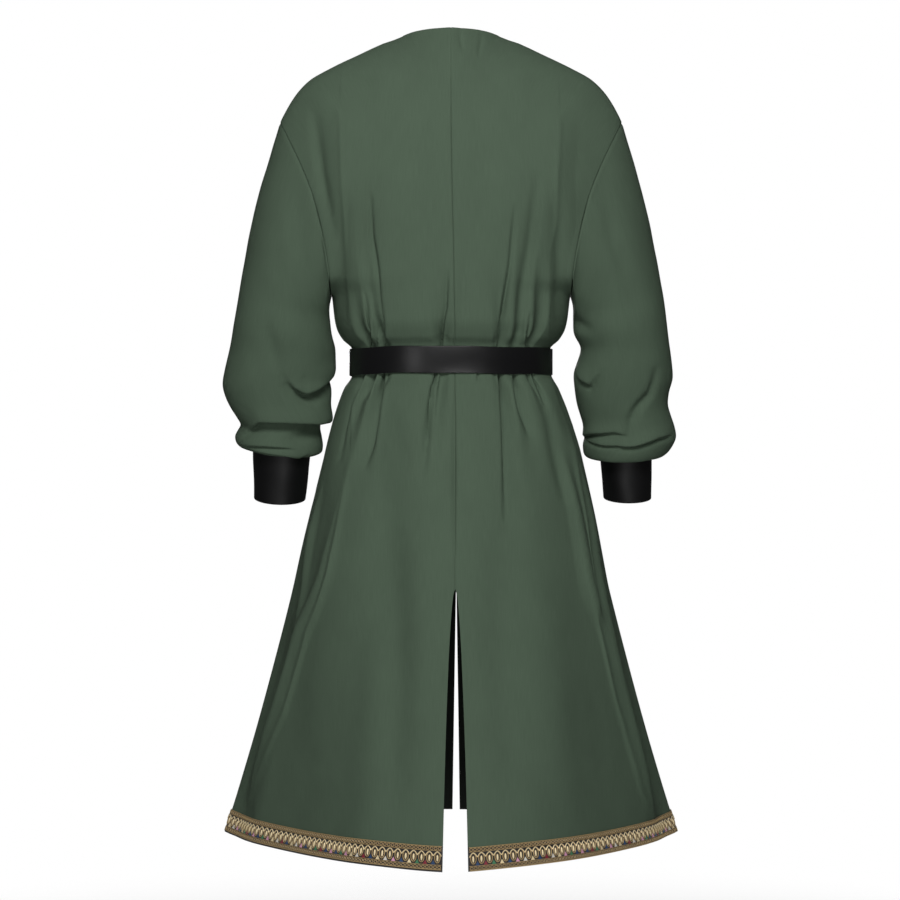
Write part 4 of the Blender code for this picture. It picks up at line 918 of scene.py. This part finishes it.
def makeCuff(side):
    count = cuffLook["around"]
    turns = 2 * np.pi * np.arange(count) / count
    edge = cuffLook["edge"]
    middle = np.linspace(0.04, 0.96, cuffLook["down"] - 8)
    down = np.concatenate([[0, 0.004, 0.012, 0.022], middle, [0.978, 0.988, 0.996, 1]])
    points = ovalRings(cuffRings[side], side, turns, down)
    normals = gridNormals(points, True, side)
    u, v = gridLengths(points, True)
    length = v[-1:, :-1]
    fromEnd = np.minimum(v[:, :-1], length - v[:, :-1])
    rounding = edge - np.sqrt(np.maximum(edge**2 - np.maximum(edge - fromEnd, 0) ** 2, 0))
    tall = down[:, None]
    dents = 0.5 * np.sin(3 * turns + 4 * tall + side) + 0.3 * np.sin(5 * turns - 3 * tall)
    dents = cuffLook["dent"] * dents * np.sin(np.pi * tall) * 0.8 - 0.0005
    outer = points + normals * (dents - rounding)[..., None]
    under = points - normals * (cuffLook["thickness"] - rounding * 0.6 - dents * 0.6)[..., None]
    obj = shellObject(sideName("cuff", side), outer, under, True, [cuffLeather], (u, v))
    declare(obj, sideNode("cuff", side))
    declareSheet(obj, u, v)


for side in (1, -1):
    makeCuff(side)


# The belt's ring, its strap's path from the folded end round the body to the tail, and the buckle. The
# path's points are a place along the ring from the centre front and an offset outwards from it.
belt = {
    "clearance": 0.0012,
    "thickness": 0.0024,
    "rounding": 0.0008,
    "point": 0.022,
    "waves": ((0.0006, 23.0, 0.0), (0.0004, 61.0, 1.0)),
    "waveEnds": (0.09, 0.06),
    "barRadius": 0.0015,
    "prongRadius": 0.0012,
    "reach": 0.0225,
    "buckleOffset": 0.0042,
    "halfHeight": 0.0215,
    "corner": 0.0024,
    "prongHeight": 0.0072,
    "layGap": 0.0003,
    "keeper": {"places": (0.0460, 0.0550), "offsets": (0.0013, 0.0096), "thickness": 0.0012},
    "start": [
        (0.0440, 0.0012), (0.0330, 0.0012), (0.0225, 0.0012), (0.0225, 0.0072), (0.0300, 0.0056),
        (0.0380, 0.0040), (0.0580, 0.0040), (0.0670, 0.0026), (0.0780, 0.0012),
    ],
    "tail": [
        (-0.0450, 0.0012), (-0.0250, 0.0012), (-0.0150, 0.0013), (-0.0080, 0.0018), (0.0000, 0.0036),
        (0.0080, 0.0072), (0.0145, 0.0096), (0.0225, 0.0102), (0.0280, 0.0100), (0.0340, 0.0082),
        (0.0390, 0.0069), (0.0580, 0.0069), (0.0670, 0.0056), (0.0780, 0.0042), (0.1000, 0.0042),
        (0.1300, 0.0042),
    ],
}


def beltRing():
    height = body["belt"] + body["beltWidth"] / 2
    heights = body["depths"]["height"]
    half = float(halfWidth(height)) + belt["clearance"]
    power = float(smoothCurve(heights, body["depths"]["backPower"], height))
    depths = [float(smoothCurve(heights, body["depths"][face], height)) for face in ("front", "back")]
    front, back = (depth + belt["clearance"] for depth in depths)
    turn = 2 * np.pi * np.arange(401) / 400
    sin, cos = np.sin(turn), np.cos(turn)
    depth = np.where(cos > 0, front, back)
    across = half * np.sign(sin) * np.abs(sin) ** (2 / power)
    points = np.stack([across, -depth * np.sign(cos) * np.abs(cos) ** (2 / power)], axis=1)
    step = np.roll(points[:-1], -1, axis=0) - np.roll(points[:-1], 1, axis=0)
    outward = np.stack([step[:, 1], -step[:, 0]], axis=1)
    outward /= np.linalg.norm(outward, axis=1, keepdims=True)
    return points, lengthsOf(points), np.concatenate([outward, outward[:1]])


ring = beltRing()


def beltPoints(place, offset, height):
    points, lengths, outward = ring
    place, offset, height = (1.0 * v for v in np.broadcast_arrays(place, offset, height))
    at = place % lengths[-1]
    flat = np.stack([np.interp(at, lengths, points[:, k]) for k in range(2)], axis=-1)
    out = np.stack([np.interp(at, lengths, outward[:, k]) for k in range(2)], axis=-1)
    out /= np.linalg.norm(out, axis=-1, keepdims=True)
    flat = flat + out * offset[..., None]
    return np.concatenate([flat, (body["belt"] + height)[..., None]], axis=-1)


def strapPath():
    length = ring[1][-1]
    path = []
    for k, (place, offset) in enumerate(belt["start"]):
        path.append((place, offset))
        if k == 2:
            radius = belt["barRadius"] + belt["layGap"] + belt["thickness"] / 2
            for step in range(1, 16):
                angle = math.pi * step / 16
                path.append((place - math.sin(angle) * radius, offset + (1 - math.cos(angle)) * radius))
    places = np.linspace(path[-1][0], length + belt["tail"][0][0], 241)[1:-1]
    path += [(p, belt["start"][0][1]) for p in places]
    path += [(length + p, o) for p, o in belt["tail"]]
    return np.array(path)


# A solid swept along rings of points, closed at both ends unless it is a loop
def sweptObject(name, rings, closed, materials):
    shape = bmesh.new()
    made = [[shape.verts.new(Vector(p)) for p in ring] for ring in rings.tolist()]
    count = len(made[0])
    for k in range(len(made) if closed else len(made) - 1):
        a, b = made[k], made[(k + 1) % len(made)]
        for i in range(count):
            n = (i + 1) % count
            shape.faces.new((a[i], a[n], b[n], b[i]))
    if not closed:
        shape.faces.new(made[0])
        shape.faces.new(made[-1])
    mesh = bpy.data.meshes.new(name)
    shape.to_mesh(mesh)
    shape.free()
    return finishedObject(mesh, materials, 40)


# A rectangle with rounded corners, in halves of its width and height
def roundedOutline(halfAcross, halfUp, rounding, steps):
    points = []
    for across, up, start in ((1, 1, 0), (-1, 1, 90), (-1, -1, 180), (1, -1, 270)):
        for k in range(steps):
            angle = math.radians(start + 90 * k / (steps - 1))
            a = across * (halfAcross - rounding) + rounding * math.cos(angle)
            points.append((a, up * (halfUp - rounding) + rounding * math.sin(angle)))
    return np.array(points)


def makeStrap():
    path = strapPath()
    steps = np.gradient(path, axis=0)
    left = np.stack([-steps[:, 1], steps[:, 0]], axis=1)
    left /= np.linalg.norm(left, axis=1, keepdims=True)
    half, thick = body["beltWidth"] / 2, belt["thickness"] / 2
    section = roundedOutline(thick, half, belt["rounding"], 5)
    point = belt["point"]
    intoPoint = point - np.minimum(path[-1, 0] - path[:, 0], point)
    narrow = np.sqrt(np.maximum(1 - (intoPoint / (point + 0.0015)) ** 2, 0))
    along = path[:, 0]
    start, end = belt["waveEnds"]
    wave = sum(size * np.sin(along * turns + shift) for size, turns, shift in belt["waves"])
    wave = np.where((along > start) & (along < ring[1][-1] - end), wave, 0)
    rings = []
    across, up = section.T
    for (place, offset), out, share, lift in zip(path, left, narrow, wave):
        rings.append(beltPoints(place + out[0] * across, offset + out[1] * across, up * share + lift))
    obj = sweptObject("beltStrap", np.array(rings), False, [beltLeather])
    declare(obj, "belt_strap")


makeStrap()


def rodRings(points, radius, sides, flat, closed):
    step = np.roll(points, -1, axis=0) - np.roll(points, 1, axis=0) if closed else np.gradient(points, axis=0)
    first = np.cross(step, flat)
    first /= np.linalg.norm(first, axis=1, keepdims=True)
    second = np.cross(step, first)
    second /= np.linalg.norm(second, axis=1, keepdims=True)
    turns = 2 * np.pi * np.arange(sides) / sides
    radius = np.broadcast_to(radius, len(points))[:, None, None]
    circle = first[:, None] * np.cos(turns)[:, None] + second[:, None] * np.sin(turns)[:, None]
    return points[:, None] + circle * radius


def makeBuckle():
    places, heights = roundedOutline(belt["reach"], belt["halfHeight"], belt["corner"], 9).T
    points = beltPoints(places, belt["buckleOffset"], heights)
    obj = sweptObject("beltBuckle", rodRings(points, belt["barRadius"], 20, (0, 1, 0), True), True, [buckleSteel])
    declare(obj, "belt_buckle")
    hook = belt["barRadius"] + belt["layGap"] + belt["prongRadius"]
    line = []
    for k in range(21):
        angle = math.radians(mix(-150, 90, k / 20))
        line.append((belt["reach"] + hook * math.cos(angle), belt["buckleOffset"] + hook * math.sin(angle), 0.0))
    for place in (0.018, 0.012, 0.006, 0.0, -0.006, -0.012, -0.018, -belt["reach"] - 0.0010, -belt["reach"] - 0.0022):
        line.append((place, belt["prongHeight"], 0.0))
    radius = np.full(len(line), belt["prongRadius"])
    radius[-3:] = belt["prongRadius"] * np.array([0.95, 0.8, 0.45])
    rings = rodRings(beltPoints(*np.array(line).T), radius, 16, (0, 0, 1), False)
    declare(sweptObject("beltProng", rings, False, [buckleSteel]), "belt_prong")


def makeKeeper():
    low, high = belt["keeper"]["offsets"]
    thick = belt["keeper"]["thickness"]
    half = body["beltWidth"] / 2 + belt["layGap"]
    places = np.linspace(*belt["keeper"]["places"], 7)[:, None]
    grids = []
    for grow, rounding in ((thick, 0.0008), (0.0, 0.0003)):
        depths, heights = roundedOutline((high - low) / 2 - thick + grow, half + grow, rounding, 5).T
        grids.append(beltPoints(places, (low + high) / 2 + depths, heights))
    declare(shellObject("beltKeeper", *grids, True, [beltLeather]), "belt_keeper")


makeBuckle()
makeKeeper()
print("made the belt and its buckle")


# Woven band: brown ribbon that shines a little, under a raised metal-thread pattern
bandLook = {
    "ground": "#17100d",
    "metal": "#bca274",
    # The pale metal colour is partly a paler thread and partly painted highlight on the raised arches and drops
    "paleMetalAndHighlight": "#f2deb2",
    "width": 0.031,
    "lift": 0.0003,
    "thickness": 0.0008,
    "thread": 0.0007,
    "pitch": 0.0111,
    "margin": 0.0012,
}


def bandMaterial():
    material, tree, shader = newMaterial("brown ribbon ground", linear(bandLook["ground"]), 0.55, Sheen_Weight=0.2)
    wave = threadWave(tree, bandLook["thread"], "X")
    bump = addNode(tree, "Bump", {"Height": (wave, "Value"), "Distance": 0.0001, "Strength": 0.5})
    tree.links.new(bump.outputs["Normal"], shader.inputs["Normal"])
    return material


def metalThreadMaterial(name, colour):
    material, tree, shader = newMaterial(name, linear(colour), 0.45, Metallic=0.2)
    where = addNode(tree, "TexCoord")
    lines = addNode(tree, "TexNoise", {"Vector": (where, "Object"), "Scale": 900.0, "Detail": 2.0})
    bump = addNode(tree, "Bump", {"Height": (lines, "Fac"), "Distance": 0.0002, "Strength": 0.6})
    tree.links.new(bump.outputs["Normal"], shader.inputs["Normal"])
    return material


bandGround = bandMaterial()
metalThread = metalThreadMaterial("gold metal thread", bandLook["metal"])
# The pale gold thread is partly a paler thread and partly painted highlight on the raised parts it covers
paleThreadAndHighlight = metalThreadMaterial("pale gold metal thread and painted highlight", bandLook["paleMetalAndHighlight"])


def makeBand(face, side):
    outer, normals = panels[(face, side)]
    top = body["hem"] + bandLook["width"]
    height = outer[..., 2]
    level = height.mean(axis=1)
    k = int(np.argmax(level < top - 0.0002))
    share = (level[k - 1] - top) / (level[k - 1] - level[k])
    first = mix(outer[k - 1], outer[k], share)
    firstNormal = mix(normals[k - 1], normals[k], share)
    points = np.concatenate([first[None], outer[k:]])
    directions = np.concatenate([firstNormal[None], normals[k:]])
    lift = bandLook["lift"]
    over = points + directions * (lift + bandLook["thickness"])
    under = points + directions * lift
    sign = facing[face]
    for grid in (over, under):
        grid[..., 1] = sign * np.maximum(sign * grid[..., 1], body["seamGap"])
    u, v = gridLengths(over, False)
    obj = shellObject(sideName("band" + face.capitalize(), side), over, under, False, [bandGround], (u, v))
    declare(obj, sideNode("trim_" + face, side))
    declareSheet(obj, u, v, wholeArea=True)
    return over, directions


# The band's raised work, one repeat of it, as (along, down from the top edge) in metres. Oval eyes with a
# drop in them stand under a scalloped cord, between two rows of small loops, with coloured fillings.
bandWork = {
    "cords": [(0.0006, 0.0005), (0.0062, 0.0004), (0.0246, 0.0004), (0.0304, 0.0006)],
    "loops": {"down": (0.0034, 0.0275), "each": 2, "radius": (0.0021, 0.0019), "tube": 0.0005},
    "eye": {"down": 0.0150, "radius": (0.0038, 0.0068), "tube": 0.0006},
    "drop": {"down": 0.0158, "radius": (0.0017, 0.0047), "height": 0.0013},
    "arch": {"down": (0.0076, 0.0132), "tube": 0.0007},
    "filling": {"down": (0.0186, 0.0240), "half": 0.0029, "height": 0.0008},
    "sunk": 0.0002,
    "order": (1, 2, 5, 0, 1, 3, 4, 0, 1, 2, 4, 0, 3, 5, 1, 3),
    "colours": {
        "blue rayon": "#1d3f68", "red rayon": "#86202f", "pink rayon": "#d69ab4", "pale rayon": "#d8d2c4",
        "green rayon": "#3c7a52",
    },
}


def oval(centre, down, radius, steps):
    turns = [2 * math.pi * i / steps for i in range(steps)]
    return [(centre + radius[0] * math.cos(a), down + radius[1] * math.sin(a)) for a in turns]


def flatTube(path, radius, closed, height):
    path = np.array(path, float)
    step = np.roll(path, -1, axis=0) - np.roll(path, 1, axis=0) if closed else np.gradient(path, axis=0)
    left = np.stack([-step[:, 1], step[:, 0]], axis=1)
    left /= np.linalg.norm(left, axis=1, keepdims=True)
    points = []
    for (s, t), (a, b) in zip(path, left):
        for across, up in ((1, 0), (0, 1), (-1, 0), (0, -1)):
            points.append((s + a * across * radius, t + b * across * radius, height + up * radius))
    count = len(path)
    faces = []
    for k in range(count if closed else count - 1):
        n = (k + 1) % count
        faces += [(4 * k + i, 4 * k + (i + 1) % 4, 4 * n + (i + 1) % 4, 4 * n + i) for i in range(4)]
    if not closed:
        faces += [(3, 2, 1, 0), tuple(4 * (count - 1) + i for i in range(4))]
    return points, faces


def flatDome(centre, down, radius, height, sides=8):
    shoulder = (radius[0] * 0.6, radius[1] * 0.7)
    points = [(s, t, -bandWork["sunk"]) for s, t in oval(centre, down, radius, sides)]
    points += [(s, t, height * 0.8) for s, t in oval(centre, down, shoulder, sides)]
    points.append((centre, down, height))
    faces = [tuple(reversed(range(sides)))]
    for k in range(sides):
        n = (k + 1) % sides
        faces += [(k, n, sides + n, sides + k), (sides + k, sides + n, 2 * sides)]
    return points, faces


def bandRepeat(pitch, filling):
    work = bandWork
    shapes = []
    for down, radius in work["cords"]:
        shapes.append((flatTube([(-pitch / 2, down), (0, down), (pitch / 2, down)], radius, False, radius * 0.6), 0))
    loops = work["loops"]
    for down in loops["down"]:
        for k in range(loops["each"]):
            centre = pitch * ((k + 0.5) / loops["each"] - 0.5)
            loop = oval(centre, down, loops["radius"], 7)
            shapes.append((flatTube(loop, loops["tube"], True, loops["tube"] * 0.6), 0))
    eye = work["eye"]
    outline = oval(0, eye["down"], eye["radius"], 16)
    shapes.append((flatTube(outline, eye["tube"], True, eye["tube"] * 0.7), 0))
    # Drops and arches take kind 1, the pale gold that is partly painted highlight
    drop = work["drop"]
    shapes.append((flatDome(0, drop["down"], drop["radius"], drop["height"]), 1))
    arch = work["arch"]
    line = [(pitch * (k / 8 - 0.5), mix(*arch["down"], abs(k / 4 - 1) ** 1.6)) for k in range(9)]
    shapes.append((flatTube(line, arch["tube"], False, arch["tube"] * 1.3), 1))
    if filling is not None:
        top, bottom = work["filling"]["down"]
        half, height = work["filling"]["half"], work["filling"]["height"]
        corners = [(pitch / 2 - half, bottom), (pitch / 2 + half, bottom), (pitch / 2, top)]
        points = [(s, t, h) for h in (-work["sunk"], height) for s, t in corners]
        shapes.append(((points, [(2, 1, 0), (3, 4, 5), (0, 1, 4, 3), (1, 2, 5, 4), (2, 0, 3, 5)]), filling + 1))
    return shapes


# Rayon thread in flat satin stitches: clear colours with a soft sheen
bandColours = [
    newMaterial(name, linear(colour), 0.5, Sheen_Weight=0.3)[0] for name, colour in bandWork["colours"].items()
]


def makeBandWork(face, side, over, directions):
    u, v = gridLengths(over, False)
    middle, fall = u[len(u) // 2], v.mean(axis=1)
    margin = bandLook["margin"]
    length = middle[-1] - 2 * margin
    count = round(length / bandLook["pitch"])
    pitch = length / count
    flat, faces, kinds = [], [], []
    for k in range(count):
        filling = bandWork["order"][k % len(bandWork["order"])] if k < count - 1 else None
        for (points, polygons), kind in bandRepeat(pitch, filling):
            base = len(flat)
            flat += [(margin + (k + 0.5) * pitch + s, t, h) for s, t, h in points]
            faces += [tuple(base + i for i in polygon) for polygon in polygons]
            kinds += [kind] * len(polygons)
    flat = np.array(flat)
    column = np.clip(np.interp(flat[:, 0], middle, np.arange(len(middle))), 0, len(middle) - 1.001)
    row = np.clip(np.interp(flat[:, 1], fall, np.arange(len(fall))), 0, len(fall) - 1.001)
    i, j = column.astype(int), row.astype(int)
    a, b = (column - i)[:, None], (row - j)[:, None]

    def between(grid):
        return mix(mix(grid[j, i], grid[j, i + 1], a), mix(grid[j + 1, i], grid[j + 1, i + 1], a), b)

    places = between(over) + between(directions) * flat[:, 2:]
    mesh = bpy.data.meshes.new(sideName("braid" + face.capitalize(), side))
    mesh.from_pydata(places.tolist(), [], faces)
    mesh.polygons.foreach_set("material_index", kinds)
    mesh.update()
    obj = finishedObject(mesh, [metalThread, paleThreadAndHighlight] + bandColours, 75)
    declare(obj, sideNode("trim_" + face, side))


for face in ("back", "front"):
    for side in (1, -1):
        makeBandWork(face, side, *makeBand(face, side))
print("made the band and its raised work")


# A pale floor that fades out into the white background, soft frontal studio light and the camera
studio = {
    "floorHeight": -1.55,
    "floorSize": 5.4,
    "floorFade": (1.2, 2.5),
    "floorGrey": 0.75,
    "ambient": 0.04,
    "camera": (0.00145, 3.3, -0.6),
    "lens": 91.04,
    "lights": [
        {"name": "keySoftbox", "at": (0.34, 2.0, 0.90), "aim": (0.0, 0.1, -0.40), "size": (0.6, 0.8), "power": 19},
        {"name": "stripSoftbox", "at": (1.50, 3.1, -0.4), "aim": (0.0, 0.0, -0.5), "size": (0.35, 1.6), "power": 9},
        {"name": "fillSoftbox", "at": (-0.24, 2.1, 0.85), "aim": (0.0, 0.1, -0.40), "size": (0.6, 0.8), "power": 24},
        {"name": "lowSoftbox", "at": (-0.25, 2.7, -1.32), "aim": (-0.04, 0.0, -0.95), "size": (0.7, 0.3), "power": 15},
        {"name": "frontSoftbox", "at": (0.30, -3.4, 0.4), "aim": (0.0, 0.0, -0.5), "size": (0.9, 1.6), "power": 62},
        {"name": "topSoftbox", "at": (0.0, 0.3, 2.6), "aim": (0.0, 0.0, -0.3), "size": (1.6, 1.2), "power": 4},
    ],
}


def makeStage():
    bpy.ops.object.select_all(action="DESELECT")
    bpy.ops.mesh.primitive_plane_add(size=studio["floorSize"], location=(0, 0, 0))
    floor = bpy.context.object
    floor.name = "floor"
    for vertex in floor.data.vertices:
        vertex.co.z = studio["floorHeight"]
    material = bpy.data.materials.new("pale floor")
    material.use_nodes = True
    tree = material.node_tree
    output = tree.nodes["Material Output"]
    shader = tree.nodes["Principled BSDF"]
    shader.inputs["Base Color"].default_value = (studio["floorGrey"],) * 3 + (1,)
    shader.inputs["Roughness"].default_value = 0.8
    where = addNode(tree, "TexCoord")
    far = addNode(tree, "VectorMath", {0: (where, "Object")}, operation="LENGTH")
    start, end = studio["floorFade"]
    limits = {"Value": (far, "Value"), "From Min": start, "From Max": end}
    blend = addNode(tree, "MapRange", limits, interpolation_type="SMOOTHSTEP")
    clear = addNode(tree, "BsdfTransparent")
    both = addNode(tree, "MixShader", {0: (blend, "Result"), 1: (shader, "BSDF"), 2: (clear, "BSDF")})
    tree.links.new(both.outputs[0], output.inputs["Surface"])
    floor.data.materials.append(material)
    world = bpy.data.worlds.new("white studio")
    world.use_nodes = True
    bpy.context.scene.world = world
    tree = world.node_tree
    background = tree.nodes["Background"]
    path = addNode(tree, "LightPath")
    limits = {"To Min": studio["ambient"], "To Max": 1.0}
    strength = addNode(tree, "MapRange", {"Value": (path, "Is Camera Ray"), **limits})
    background.inputs["Color"].default_value = (1, 1, 1, 1)
    tree.links.new(strength.outputs["Result"], background.inputs["Strength"])
    for row in studio["lights"]:
        data = bpy.data.lights.new(row["name"], "AREA")
        data.shape = "RECTANGLE"
        data.size, data.size_y = row["size"]
        data.energy = row["power"]
        light = bpy.data.objects.new(row["name"], data)
        light.location = row["at"]
        light.rotation_euler = (Vector(row["aim"]) - Vector(row["at"])).to_track_quat("-Z", "Y").to_euler()
        bpy.context.scene.collection.objects.link(light)
    camera = bpy.data.objects.new("camera", bpy.data.cameras.new("camera"))
    camera.location = studio["camera"]
    camera.rotation_euler = (math.radians(90), 0, math.radians(180))
    camera.data.sensor_width = 36
    camera.data.lens = studio["lens"]
    bpy.context.scene.collection.objects.link(camera)
    bpy.context.scene.camera = camera
    bpy.context.scene.view_settings.view_transform = "Standard"


makeStage()
print("set the stage")
